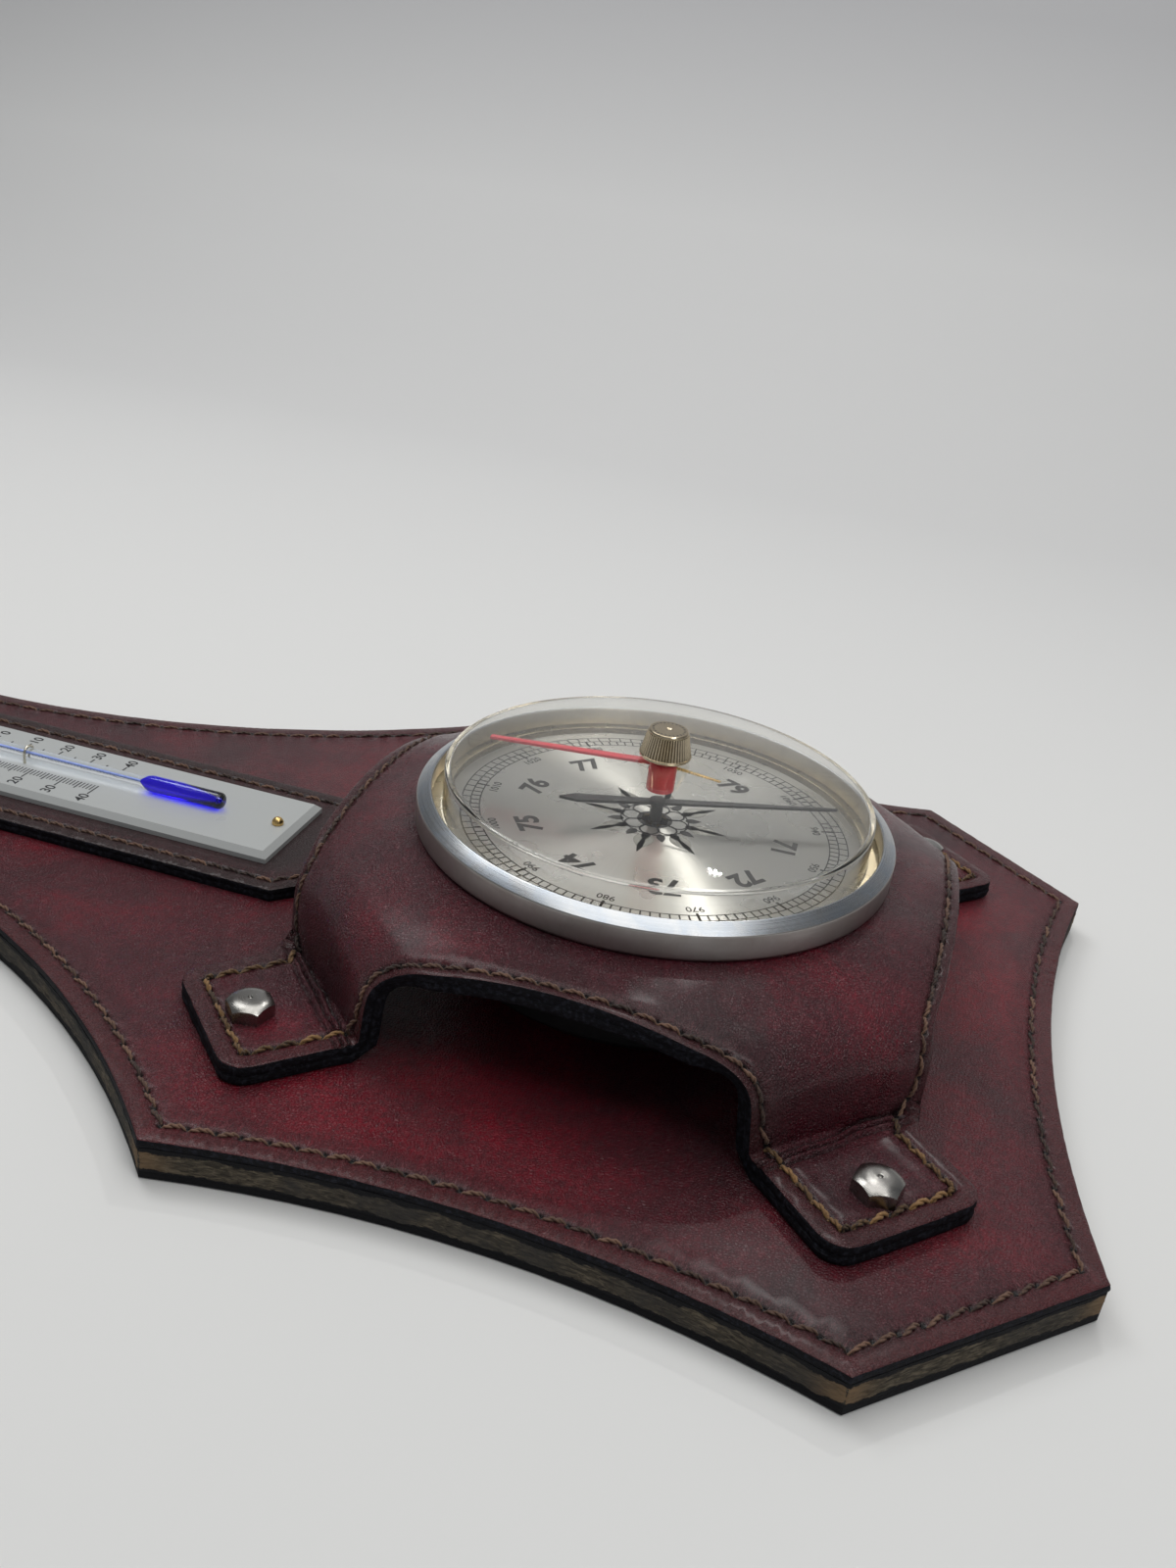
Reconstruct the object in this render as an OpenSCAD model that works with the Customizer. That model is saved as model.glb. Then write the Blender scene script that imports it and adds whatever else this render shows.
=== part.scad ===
// Wall barometer on a leather-covered board, with a thermometer up its neck.
// Millimetres. The origin is on the dial axis, in the plane of the board's back.
// +Z faces the reader, +Y points up the neck and +X to the right.

/* [Board] */
// Height of the board below the dial axis
foot_drop = 121.6; // [110:1:140]
// Height of the board above the dial axis
crown_rise = 343; // [300:1:400]
// Half width at the upper shoulder, where the neck begins
shoulder_x = 124; // [116:1:145]
// Height of the upper shoulder
shoulder_y = 75; // [60:1:85]
// Half width at the lower shoulder
hip_x = 127.2; // [118:1:148]
// Depth of the lower shoulder below the axis
hip_y = 73.5; // [60:1:85]
// Half width of the bottom edge
foot_x = 83.3; // [60:1:95]
// Half width of the top edge
crown_x = 38; // [30:1:50]
// Half width at the top shoulders
cap_x = 58.6; // [52:1:75]
// How far the top shoulders lie below the top edge
cap_drop = 21; // [12:1:30]
// How far the neck's side is drawn in from a straight line
neck_bow = 36.8; // [28:0.2:44]
// How far the short sides are drawn in
side_bow = 9.4; // [4:0.2:14]
// How far the bottom edge is drawn in
foot_bow = 10; // [4:0.2:14]
// How far the top edge is drawn in
crown_bow = 4; // [1:0.2:8]
// Thickness of the front leather
leather_t = 2; // [1.2:0.1:3]
// Thickness of the raw fibre core
core_t = 6.2; // [5:0.1:12]
// Thickness of the black backing
backing_t = 1.8; // [1:0.1:3]

/* [Cover] */
// Height of the cover's top above the front leather
cover_rise = 33.2; // [30:0.2:40]
// Thickness of the cover's outer leather
cover_t = 2.5; // [1.5:0.1:3.5]
// Thickness of the cover's lining
lining_t = 2.5; // [1.5:0.1:3.5]
// Distance of an arch's edge from the axis, at its middle
arch_reach = 81.2; // [76:0.2:90]
// How far an arch's edge is drawn in
arch_bow = 0.8; // [0.2:0.1:3]
// Width of a leg
leg_w = 41.2; // [34:0.2:50]
// Sideways shift of a leg from the diagonal through the axis
leg_shift = 5.3; // [0:0.1:8]
// Distance from the axis to the crease at a leg's foot, along the diagonal
crease_a = 90.8; // [88:0.2:100]
// Length of a tab from the crease to its end
tab_l = 29.5; // [26:0.2:40]
// Corner radius of a tab
tab_r = 6; // [3:0.2:9]
// Radius of the gentle fall at the top of a leg
fall_r = 70; // [50:1:110]
// Radius of a leg's shoulder
bend_r = 14; // [9:0.2:18]
// Radius in the crease
crease_r = 0.8; // [0.4:0.1:2]

/* [Bolts] */
// Thread diameter of the cover bolts
bolt_d = 6; // [5:0.5:8]
// Width across the flats of a bolt head
bolt_af = 10; // [8:0.5:13]
// Height of a bolt head
bolt_head_h = 4.2; // [3:0.1:6]
// Distance from the crease to a bolt, along the diagonal
bolt_from_crease = 18.2; // [14:0.2:22]

/* [Instrument] */
// Outside diameter of the bezel
bezel_d = 125; // [118:1:140]
// Height of the bezel's side
bezel_side_h = 7; // [5:0.1:9]
// Diameter of the bezel's bright edge, inside
bezel_mouth_d = 117.4; // [110:0.2:130]
// Rise of the bezel's bevel
bevel_h = 2.1; // [1:0.1:4]
// Outside diameter of the crystal's wall
crystal_d = 111.8; // [104:0.2:120]
// Wall of the crystal
crystal_t = 1.5; // [1:0.1:2.5]
// Height of the crystal's wall above the dial
crystal_wall_h = 11.9; // [9:0.1:16]
// Rise of the crystal's dome
dome_h = 6.5; // [4:0.1:10]
// Diameter of the case
case_d = 108; // [100:1:116]
// Wall of the case
case_t = 1.2; // [0.8:0.1:2]
// Thickness of the dial
dial_t = 0.8; // [0.5:0.1:1.5]

/* [Hands] */
// Length of the reading hand from the axis to its tip
reading_l = 49; // [40:0.5:52]
// Length of the reading hand's tail
reading_tail = 26; // [18:0.5:32]
// Height of the reading hand above the dial
reading_h = 4.8; // [3:0.1:5.6]
// Direction of the reading hand, anticlockwise from +X
reading_dir = -66.5; // [-180:0.5:180]
// Length of the set hand from the axis to its tip
set_l = 48.3; // [40:0.5:50]
// Length of the set hand's tail
set_tail = 15.5; // [8:0.5:20]
// Direction of the set hand, anticlockwise from +X
set_dir = 86; // [-180:0.5:180]
// Diameter of the set hand's bush
bush_d = 7.3; // [6:0.1:9]
// Diameter of the knob at its widest
knob_d = 13.6; // [11:0.1:16]
// Diameter of the knob's flat top
knob_top_d = 10.6; // [8:0.1:12]
// Height of the knob
knob_h = 7.8; // [6:0.1:10]
// Number of knurls round the knob
knurls = 60; // [36:6:72]

/* [Thermometer] */
// Width of the pad
pad_w = 58.8; // [50:0.2:64]
// Length of the pad
pad_l = 226; // [215:1:240]
// Distance from the dial axis to the pad's lower end
pad_y = 86; // [84:1:92]
// Clipped corner of the pad
pad_clip = 9.5; // [5:0.5:14]
// Thickness of the pad's black core
pad_core_t = 2.2; // [1.5:0.1:4]
// Thickness of the pad's leather
pad_leather_t = 1.4; // [1:0.1:2.5]
// Width of the scale plate
plate_w = 35.2; // [28:0.2:42]
// Length of the scale plate
plate_l = 200; // [180:1:202]
// Thickness of the scale plate
plate_t = 3; // [2:0.1:4]
// Bevel round the scale plate
plate_bevel = 1.6; // [0.8:0.1:1.8]
// Diameter of the bulb
bulb_d = 5; // [4:0.1:6]
// Length of the bulb
bulb_l = 27; // [20:0.5:32]
// Diameter of the glass stem
stem_d = 3.2; // [2.4:0.1:3.8]
// Distance from the plate's end to a brass pin
pin_inset = 5.4; // [4:0.2:8]

/* [Hidden] */
$fn = 96;
ARC = 14;

// Heights through the board and the cover
core_z = backing_t;
skin_z = core_z + core_t;
top_z = skin_z + leather_t;
cover_z = top_z + cover_rise;
tab_z = top_z + cover_t + lining_t;
crown_y = crown_rise;
cap_y = crown_rise - cap_drop;

// The two arcs of a leg and its steep riser
FALL_END = 18;
RISER = 86;
riser_h = cover_z - tab_z - crease_r - fall_r * (1 - cos(FALL_END))
    - bend_r * (cos(FALL_END) - cos(RISER)) + crease_r * cos(RISER);
riser_run = riser_h / tan(RISER) + crease_r * sin(RISER);
fall_a = crease_a - riser_run - bend_r * sin(RISER) - (fall_r - bend_r) * sin(FALL_END);
leg_out = leg_shift + leg_w / 2;
leg_in = leg_shift - leg_w / 2;
tab_end = crease_a + tab_l;
bolt_a = crease_a + bolt_from_crease;
bolt_l = leg_shift + 1;
bolt_x = (bolt_a + bolt_l) / sqrt(2);
bolt_y = (bolt_a - bolt_l) / sqrt(2);

// Fits that several pieces share
slip = 0.05;
// How far a cutting shape runs past the face that it cuts
over = 1;
shank_r = bolt_d / 2 - slip;
shank_hole_r = bolt_d / 2 + 0.3;
nut_r = 9.5;
nut_flange_t = 1.2;
nut_barrel_r = bolt_d / 2 + 1;
nut_h = core_t - 0.4;
head_turn = 15;
head_chamfer_h = 1.5;
head_pit_r = 0.7;
head_pit_depth = 0.5;

// The instrument, from the case's floor up to the knob
case_r = case_d / 2;
rim_r = bezel_d / 2 - 2.1;
rim_t = 1.8;
dial_z = cover_z + rim_t;
dial_top = dial_z + dial_t;
dial_r = rim_r - 0.2;
dial_hole_r = 4;
flange_t = 1.4;
mouth_r = bezel_mouth_d / 2;
crystal_r = crystal_d / 2;
wall_top = dial_top + crystal_wall_h;
apex_z = wall_top + dome_h;
dome_r = (crystal_r * crystal_r + dome_h * dome_h) / (2 * dome_h);
case_hole_r = case_r + 0.6;

// The works, from the movement plate up
floor_z = top_z + case_t;
works_z = floor_z + 2;
works_r = case_r - case_t - 5;
can_screw_a = works_r - 5.5;
can_screw_r = 1.5;
arbor_r = 0.7;
bridge_t = 1.5;
bridge_z = dial_z - 2.2 - bridge_t;
pillar_y = works_r - 13.8;
pillar_r = 2.5;
bar_w = 8;
drum_r = 0.8;
drum_z = bridge_z - 1.2;
cock_z = drum_z - 4.2;
rocker_arm = 10;
rocker_x = works_r - 9.8;
rocker_z = drum_z - rocker_arm;
rocker_lean = 12;
pivot_r = 0.8;
leaf_t = 1.5;
leaf_w = 24;
leaf_z = rocker_z - 4.4;
leaf_back_x = 10.3 - works_r;
leaf_tip_x = 8;
post_r = 2.2;
capsule_r = works_r - 20.8;
capsule_z = works_z;
capsule_h = leaf_z - 3.5 - capsule_z;
lever_pivot_x = leaf_tip_x + 3.5;
lever_z = leaf_z + leaf_t / 2;
lever_boss_r = 1.6;
adjuster_x = leaf_back_x + 1.5;
adjuster_r = 1.5;
adjuster_head_r = 3.6;
adjuster_head_h = 1.6;
adjuster_hole_r = 10;
small_screw_r = 1.3;
small_head_r = 2.2;
small_head_h = 1.2;
foot_screw_y = 8;
foot_screw_x = leaf_back_x + 3.5;
hand_t = 0.5;
hand_z = dial_top + reading_h;

// The set hand hangs from the knob, under the crystal
set_t = 0.8;
stem_r = 1.9;
set_top = apex_z - crystal_t - 0.4;
bush_h = 7.6;
knob_z = apex_z + 0.4;
// Slope that keeps the set hand under the dome all the way out
set_slope = 6.3;

// The thermometer's heights
pad_z = top_z;
pad_skin_z = pad_z + pad_core_t;
plate_z = pad_skin_z + pad_leather_t;
plate_top = plate_z + plate_t;
plate_y = pad_y + (pad_l - plate_l) / 2 + 4;
bulb_r = bulb_d / 2;
tube_z = plate_top + bulb_r + 0.2;
bulb_y = plate_y + 22.6;
stem_y = bulb_y + bulb_l;
stem_l = plate_l - 22.6 - bulb_l - 22;
clip_ys = [stem_y + 38, stem_y + stem_l - 22];
clip_wire_r = 0.4;
pin_ys = [plate_y + pin_inset, plate_y + plate_l - pin_inset];
pin_shank_r = 0.7;
pin_head_r = 1.7;

// The hanging plate at the back, near the top
hanger_y = crown_y - 37;
hanger_w = 22;
hanger_h = 42;
hanger_t = 1.4;
key_r = 4.5;
slot_r = 2.3;
slot_rise = 11;
hanger_z = core_z - hanger_t;
hanger_screw_dy = 16;
hanger_screw_r = 1.4;
hanger_screw_l = 4.6;
recess_l = 4.6;
recess_slack = 0.6;

// Points of an arc from p to q that swings to the left by sag
function bow(p, q, sag, n = ARC) =
    let (chord = norm(q - p), u = (q - p) / chord, v = [-u.y, u.x],
        r = (chord * chord / 4 + sag * sag) / (2 * sag), half = asin(chord / 2 / r))
    [for (i = [0 : n]) let (t = half * (2 * i / n - 1))
        p + u * (chord / 2 + r * sin(t)) + v * (r * (cos(t) - 1) + sag)];

// Points of an arc about c, from angle t0 to t1
function sweep(c, r, t0, t1, n = ARC) =
    [for (i = [0 : n]) let (t = t0 + (t1 - t0) * i / n) c + r * [cos(t), sin(t)]];

function flip_x(points) = [for (i = [len(points) - 1 : -1 : 0]) [-points[i].x, points[i].y]];
function flip_y(points) = [for (i = [len(points) - 1 : -1 : 0]) [points[i].x, -points[i].y]];
function turned_back(points) = [for (i = [len(points) - 1 : -1 : 0]) points[i]];

// The board's outline: drawn-in sides, clipped corners and a long waisted neck
function board_outline() =
    let (foot = [foot_x, -foot_drop], hip = [hip_x, -hip_y], shoulder = [shoulder_x, shoulder_y],
        cap = [cap_x, cap_y], crown = [crown_x, crown_y],
        side = concat(bow(hip, shoulder, side_bow), bow(shoulder, cap, neck_bow, 2 * ARC)),
        bottom = bow([-foot_x, -foot_drop], foot, foot_bow),
        top = bow(crown, [-crown_x, crown_y], crown_bow))
    concat(bottom, side, top, flip_x(side));

// A point given along and across a leg
function on_leg(a, l) = [(a + l) / sqrt(2), (a - l) / sqrt(2)];

// One corner of the cover's outline, from the +X axis round the tab to the +Y axis
function cover_corner() =
    let (x_end = arch_reach + arch_bow, y_end = arch_reach - 2 * arch_bow,
        notch_x = on_leg(sqrt(2) * x_end - leg_out, leg_out),
        notch_y = on_leg(sqrt(2) * y_end + leg_in, leg_in),
        x_arch = bow([notch_x.x, -notch_x.y], notch_x, arch_bow),
        y_arch = bow(notch_y, [-notch_y.x, notch_y.y], -arch_bow),
        inner = tab_end - tab_r,
        far = sweep([0, 0], tab_r, -45, 45, 6),
        near = sweep([0, 0], tab_r, 45, 135, 6))
    concat([for (p = x_arch) if (p.y >= 0) p],
        [for (p = far) on_leg(inner, leg_out - tab_r) + p],
        [for (p = near) on_leg(inner, leg_in + tab_r) + p],
        [for (p = y_arch) if (p.x >= 0) p]);

function cover_outline() =
    let (corner = cover_corner(), upper = concat(corner, flip_x(corner)))
    concat(upper, flip_y(upper));

// A leg's section, as distance along the diagonal and height, at a depth d in the leather
function leg_curve(d) =
    let (fall_c = [fall_a, cover_z - fall_r],
        bend_c = fall_c + (fall_r - bend_r) * [sin(FALL_END), cos(FALL_END)],
        crease_c = [crease_a, tab_z + crease_r])
    concat([[0, cover_z - d]],
        sweep(fall_c, fall_r - d, 90, 90 - FALL_END, 6),
        sweep(bend_c, bend_r - d, 90 - FALL_END, 90 - RISER, 10),
        sweep(crease_c, crease_r + d, 270 - RISER, 270, 6),
        [[tab_end + 5, tab_z - d]]);

// A layer of the cover between two depths
module cover_layer(outer, inner) {
    section = concat(leg_curve(inner), turned_back(leg_curve(outer)));
    intersection() {
        linear_extrude(cover_z + 1) polygon(cover_outline());
        union() {
            for (turn = [45, 135, 225, 315]) intersection() {
                rotate(turn) rotate([90, 0, 0]) translate([0, 0, -150])
                    linear_extrude(300) polygon(section);
                rotate(turn - 45) cube([150, 150, cover_z + 1]);
            }
        }
    }
}

// Stands its children at the four bolts
module at_bolts() {
    for (sx = [-1, 1], sy = [-1, 1]) translate([sx * bolt_x, sy * bolt_y, 0]) children();
}

// Stands its children at the case's four screws
module at_case_screws() {
    for (turn = [45 : 90 : 315]) rotate(turn) translate([can_screw_a, 0, 0]) children();
}

module ring(r_out, r_in, h) {
    difference() {
        cylinder(r = r_out, h = h);
        translate([0, 0, -1]) cylinder(r = r_in, h = h + 2);
    }
}

// One layer of the board, with the holes that all its layers share
module board_layer(z, t, access_r) {
    difference() {
        translate([0, 0, z]) linear_extrude(t) polygon(board_outline());
        translate([adjuster_x, 0, -over]) cylinder(r = access_r, h = top_z + 2 * over);
        at_case_screws() translate([0, 0, -1]) cylinder(r = can_screw_r + 0.2, h = top_z + 2);
        children();
    }
}

module keyhole(h) {
    cylinder(r = key_r, h = h);
    translate([0, slot_rise, 0]) cylinder(r = slot_r, h = h);
    translate([-slot_r, 0, 0]) cube([2 * slot_r, slot_rise, h]);
}

module board_backing() {
    color([0.07, 0.06, 0.06]) board_layer(0, backing_t, adjuster_hole_r) {
        at_case_screws() translate([0, 0, -1]) cylinder(r = 2 * can_screw_r + 0.2, h = backing_t + 2);
        translate([-hanger_w / 2 - 0.2, hanger_y - hanger_h / 2 - 0.2, -1])
            cube([hanger_w + 0.4, hanger_h + 0.4, backing_t + 2]);
    }
}

module board_core() {
    color([0.33, 0.27, 0.22]) board_layer(core_z, core_t, adjuster_hole_r) {
        at_bolts() {
            translate([0, 0, core_z - 1]) cylinder(r = nut_r + 0.1, h = 1 + nut_flange_t);
            cylinder(r = nut_barrel_r + slip, h = top_z);
        }
        translate([0, hanger_y, core_z - over]) keyhole_recess(over + recess_l);
        for (sy = [-1, 1]) translate([0, hanger_y + sy * hanger_screw_dy, core_z - over])
            cylinder(r = hanger_screw_r, h = over + hanger_screw_l);
    }
}

// Room in the core for the head of the wall screw
module keyhole_recess(h) {
    r = key_r + recess_slack;
    cylinder(r = r, h = h);
    translate([0, slot_rise, 0]) cylinder(r = r, h = h);
    translate([-r, 0, 0]) cube([2 * r, slot_rise, h]);
}

module board_leather() {
    color([0.32, 0.04, 0.08]) board_layer(skin_z, leather_t, adjuster_r + slip) {
        at_bolts() cylinder(r = shank_hole_r, h = top_z + 1);
    }
}

module hanger_plate() {
    color([0.62, 0.62, 0.64]) translate([0, hanger_y, hanger_z]) difference() {
        translate([-hanger_w / 2, -hanger_h / 2, 0]) cube([hanger_w, hanger_h, hanger_t]);
        translate([0, 0, -1]) keyhole(hanger_t + 2);
        for (sy = [-1, 1]) translate([0, sy * hanger_screw_dy, -1])
            cylinder(r = hanger_screw_r + slip, h = hanger_t + 2);
    }
}

module hanger_screws() {
    head_r = 2.6;
    head_h = 0.35;
    slot_w = 0.6;
    color([0.7, 0.7, 0.72]) for (sy = [-1, 1])
        translate([0, hanger_y + sy * hanger_screw_dy, 0]) {
            translate([0, 0, hanger_z]) cylinder(r = hanger_screw_r, h = hanger_t + hanger_screw_l);
            difference() {
                translate([0, 0, hanger_z - head_h]) cylinder(r = head_r, h = head_h);
                translate([-head_r, -slot_w / 2, hanger_z - head_h - over])
                    cube([2 * head_r, slot_w, over + head_h / 2]);
            }
        }
}

// The burgundy saddle: four legs bent down at the diagonals, with an arch on each side
module cover_leather() {
    color([0.30, 0.04, 0.08]) difference() {
        cover_layer(0, cover_t);
        translate([0, 0, tab_z]) cylinder(r = case_hole_r, h = cover_rise);
        at_bolts() cylinder(r = shank_hole_r, h = tab_z + 1);
    }
}

module cover_lining() {
    color([0.06, 0.05, 0.06]) difference() {
        cover_layer(cover_t, cover_t + lining_t);
        translate([0, 0, tab_z]) cylinder(r = case_hole_r, h = cover_rise);
        at_bolts() cylinder(r = shank_hole_r, h = tab_z + 1);
    }
}

// Hexagon heads with a shallow turned crown and a centre pit
module cover_bolts() {
    across_corners = bolt_af / cos(30);
    flat_r = 0.36 * bolt_af;
    color([0.75, 0.75, 0.74]) at_bolts() {
        translate([0, 0, core_z + nut_flange_t]) cylinder(r = shank_r, h = tab_z - core_z - nut_flange_t);
        translate([0, 0, tab_z]) intersection() {
            rotate(head_turn) cylinder(d = across_corners, h = bolt_head_h, $fn = 6);
            rotate_extrude() polygon([[0, 0], [across_corners, 0],
                [across_corners / 2 + 0.1, bolt_head_h - head_chamfer_h], [flat_r, bolt_head_h - 0.3],
                [head_pit_r, bolt_head_h], [0, bolt_head_h - head_pit_depth]]);
        }
    }
}

// Drive-in nuts let into the core from the back
module tee_nuts() {
    color([0.6, 0.6, 0.62]) at_bolts() translate([0, 0, core_z]) difference() {
        union() {
            cylinder(r = nut_r, h = nut_flange_t);
            cylinder(r = nut_barrel_r, h = nut_h);
        }
        translate([0, 0, -1]) cylinder(r = bolt_d / 2, h = nut_h + 2);
    }
}

module pad_shape(z, t) {
    x = pad_w / 2;
    y = pad_y + pad_l;
    translate([0, 0, z]) linear_extrude(t) polygon([
        [x, pad_y + pad_clip], [x, y - pad_clip], [x - pad_clip, y], [pad_clip - x, y],
        [-x, y - pad_clip], [-x, pad_y + pad_clip], [pad_clip - x, pad_y], [x - pad_clip, pad_y]]);
}

module pad_core() {
    color([0.05, 0.05, 0.05]) difference() {
        pad_shape(pad_z, pad_core_t);
        for (y = pin_ys) translate([0, y, 0]) cylinder(r = pin_shank_r, h = plate_top);
    }
}

module pad_leather() {
    color([0.24, 0.10, 0.11]) difference() {
        pad_shape(pad_skin_z, pad_leather_t);
        for (y = pin_ys) translate([0, y, 0]) cylinder(r = pin_shank_r, h = plate_top);
    }
}

// The white plate: a flat slab whose upper edges are bevelled on all four sides
module scale_plate() {
    color([0.88, 0.89, 0.90]) difference() {
        translate([-plate_w / 2, plate_y, plate_z]) cube([plate_w, plate_l, plate_t]);
        for (s = [-1, 1]) {
            translate([s * plate_w / 2, 0, plate_top]) rotate([0, s * 45, 0])
                translate([-plate_bevel * sqrt(0.5), plate_y - 5, -plate_bevel * sqrt(0.5)])
                cube([plate_bevel * sqrt(2), plate_l + 10, plate_bevel * sqrt(2)]);
            translate([0, plate_y + (s + 1) / 2 * plate_l, plate_top]) rotate([s * -45, 0, 0])
                translate([-plate_w, -plate_bevel * sqrt(0.5), -plate_bevel * sqrt(0.5)])
                cube([2 * plate_w, plate_bevel * sqrt(2), plate_bevel * sqrt(2)]);
        }
        for (y = pin_ys) translate([0, y, 0]) cylinder(r = pin_shank_r + slip, h = plate_top + 1);
        for (y = clip_ys) clip_legs(y, clip_wire_r);
    }
}

// The tube's section turned about its own axis: bulb, neck and capillary stem
module along_tube() {
    translate([0, bulb_y, tube_z]) rotate([-90, 0, 0]) rotate_extrude() children();
}

module thermometer_tube() {
    wall = 0.4;
    color([0.85, 0.9, 1.0, 0.4]) difference() {
        along_tube() polygon(concat([[0, 0]], sweep([bulb_r - 1.5, 1.5], 1.5, -90, 0, 5),
            [[bulb_r, bulb_l - 2.5], [stem_d / 2, bulb_l], [stem_d / 2, bulb_l + stem_l - 1],
            [stem_d / 2 - 1, bulb_l + stem_l], [0, bulb_l + stem_l]]));
        along_tube() polygon([[0, 0.6], [bulb_r - 1.2, 0.6], [bulb_r - wall, 1.4],
            [bulb_r - wall, bulb_l - 2.8], [0.5, bulb_l], [0.5, bulb_l + stem_l - 3],
            [0, bulb_l + stem_l - 3]]);
    }
}

module thermometer_spirit() {
    wall = 0.4;
    column = 0.42 * stem_l;
    color([0.10, 0.05, 0.85]) along_tube() polygon([[0, 0.6], [bulb_r - 1.2, 0.6],
        [bulb_r - wall, 1.4], [bulb_r - wall, bulb_l - 2.8], [0.5, bulb_l],
        [0.5, bulb_l + column], [0, bulb_l + column]]);
}

// Where a clip's two legs go into the plate
module clip_legs(y, r) {
    for (s = [-1, 1]) translate([s * (stem_d / 2 + clip_wire_r + slip), y, plate_z + 1])
        cylinder(r = r, h = tube_z - plate_z - 1);
}

// Wire staples over the stem
module tube_clips() {
    bend = stem_d / 2 + clip_wire_r + slip;
    color([0.85, 0.82, 0.72]) for (y = clip_ys) {
        clip_legs(y, clip_wire_r);
        translate([0, y, tube_z]) rotate([90, 0, 0]) rotate_extrude(angle = 180)
            translate([bend, 0]) circle(r = clip_wire_r, $fn = 24);
    }
}

// Ball-headed brass pins that hold the plate
module plate_pins() {
    color([0.80, 0.62, 0.28]) for (y = pin_ys) translate([0, y, 0]) {
        translate([0, 0, pad_z + 0.2]) cylinder(r = pin_shank_r, h = plate_top - pad_z);
        translate([0, 0, plate_top]) rotate_extrude()
            polygon(concat([[0, 0]], sweep([0, 0.5], pin_head_r, -16, 90, 8)));
    }
}

module bezel() {
    r = bezel_d / 2;
    color([0.80, 0.80, 0.79]) translate([0, 0, cover_z]) rotate_extrude() polygon([
        [rim_r, 0], [r - 0.6, 0], [r, 0.7], [r, bezel_side_h - 0.3], [r - 0.3, bezel_side_h],
        [mouth_r + 0.3, bezel_side_h + bevel_h], [mouth_r, bezel_side_h + bevel_h - 0.3],
        [mouth_r, dial_top + flange_t - cover_z], [rim_r, dial_top + flange_t - cover_z]]);
}

// The box crystal: a flange, an upright wall and a shallow dome with a hole for the stem
module crystal() {
    r = crystal_r;
    fall = asin(r / dome_r);
    outer = sweep([0, apex_z - dome_r], dome_r, 90, 90 - fall);
    inner = sweep([0, apex_z - dome_r], dome_r - crystal_t, 90,
        90 - asin((r - crystal_t) / (dome_r - crystal_t)));
    color([0.95, 0.95, 0.90, 0.3]) difference() {
        rotate_extrude() polygon(concat([[0, apex_z - crystal_t]], inner,
            [[r - crystal_t, dial_top], [dial_r, dial_top], [dial_r, dial_top + flange_t],
            [r, dial_top + flange_t]], turned_back(outer)));
        cylinder(r = stem_r + slip, h = apex_z + over);
    }
}

module dial() {
    color([0.82, 0.83, 0.83]) translate([0, 0, dial_z]) ring(dial_r, dial_hole_r, dial_t);
}

// Deep-drawn case with a rim that hangs on the cover's leather
module case() {
    color([0.08, 0.08, 0.09]) difference() {
        rotate_extrude() polygon([[0, top_z], [case_r - 3, top_z], [case_r, top_z + 3],
            [case_r, cover_z], [dial_r, cover_z], [dial_r, dial_z], [case_r - case_t, dial_z],
            [case_r - case_t, floor_z + 3], [case_r - case_t - 3, floor_z], [0, floor_z]]);
        translate([adjuster_x, 0, 0]) cylinder(r = adjuster_r + slip, h = floor_z + over);
        at_case_screws() cylinder(r = can_screw_r + 0.1, h = floor_z + 1);
    }
}

// Countersunk screws from the back, through the case's floor into the movement plate
module case_screws() {
    color([0.6, 0.6, 0.62]) at_case_screws() difference() {
        rotate_extrude() polygon([[0, 0.3], [2 * can_screw_r, 0.3], [can_screw_r, 0.3 + can_screw_r],
            [can_screw_r, works_z], [0, works_z]]);
        translate([-2 * can_screw_r, -0.3, -0.2]) cube([4 * can_screw_r, 0.6, 1.1]);
    }
}

module movement_plate() {
    color([0.72, 0.66, 0.45]) difference() {
        translate([0, 0, floor_z]) cylinder(r = works_r, h = works_z - floor_z);
        translate([adjuster_x, 0, 0]) cylinder(r = adjuster_r + slip, h = works_z + 1);
        at_case_screws() cylinder(r = can_screw_r, h = works_z + 1);
    }
}

// The sealed capsule: two corrugated diaphragms joined at the rim
module capsule() {
    waves = 5;
    steps = 8 * waves;
    reach = capsule_r - 5;
    mid = capsule_h / 2;
    function wave(i) = mid - 0.9 - 0.6 * cos(360 * i * waves / steps);
    upper = [for (i = [0 : steps]) [4 + (reach - 4) * i / steps, mid + wave(i)]];
    lower = [for (i = [steps : -1 : 0]) [4 + (reach - 4) * i / steps, mid - wave(i)]];
    color([0.80, 0.72, 0.50]) translate([0, 0, capsule_z]) rotate_extrude() polygon(concat(
        [[0, capsule_h]], [[4, capsule_h]], upper, [[reach + 2, mid + 0.6], [capsule_r, mid + 0.6],
        [capsule_r, mid - 0.6], [reach + 2, mid - 0.6]], lower, [[4, 0], [0, 0]]));
}

// The post that hooks the capsule to the spring, with its cross pin above the leaf
module capsule_post() {
    foot = capsule_z + capsule_h;
    color([0.65, 0.65, 0.66]) {
        translate([0, 0, foot]) cylinder(r = post_r, h = leaf_z + leaf_t + 2.4 - foot);
        translate([0, 5, leaf_z + leaf_t + 1]) rotate([90, 0, 0]) cylinder(r = 0.9, h = 10);
    }
}

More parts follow.
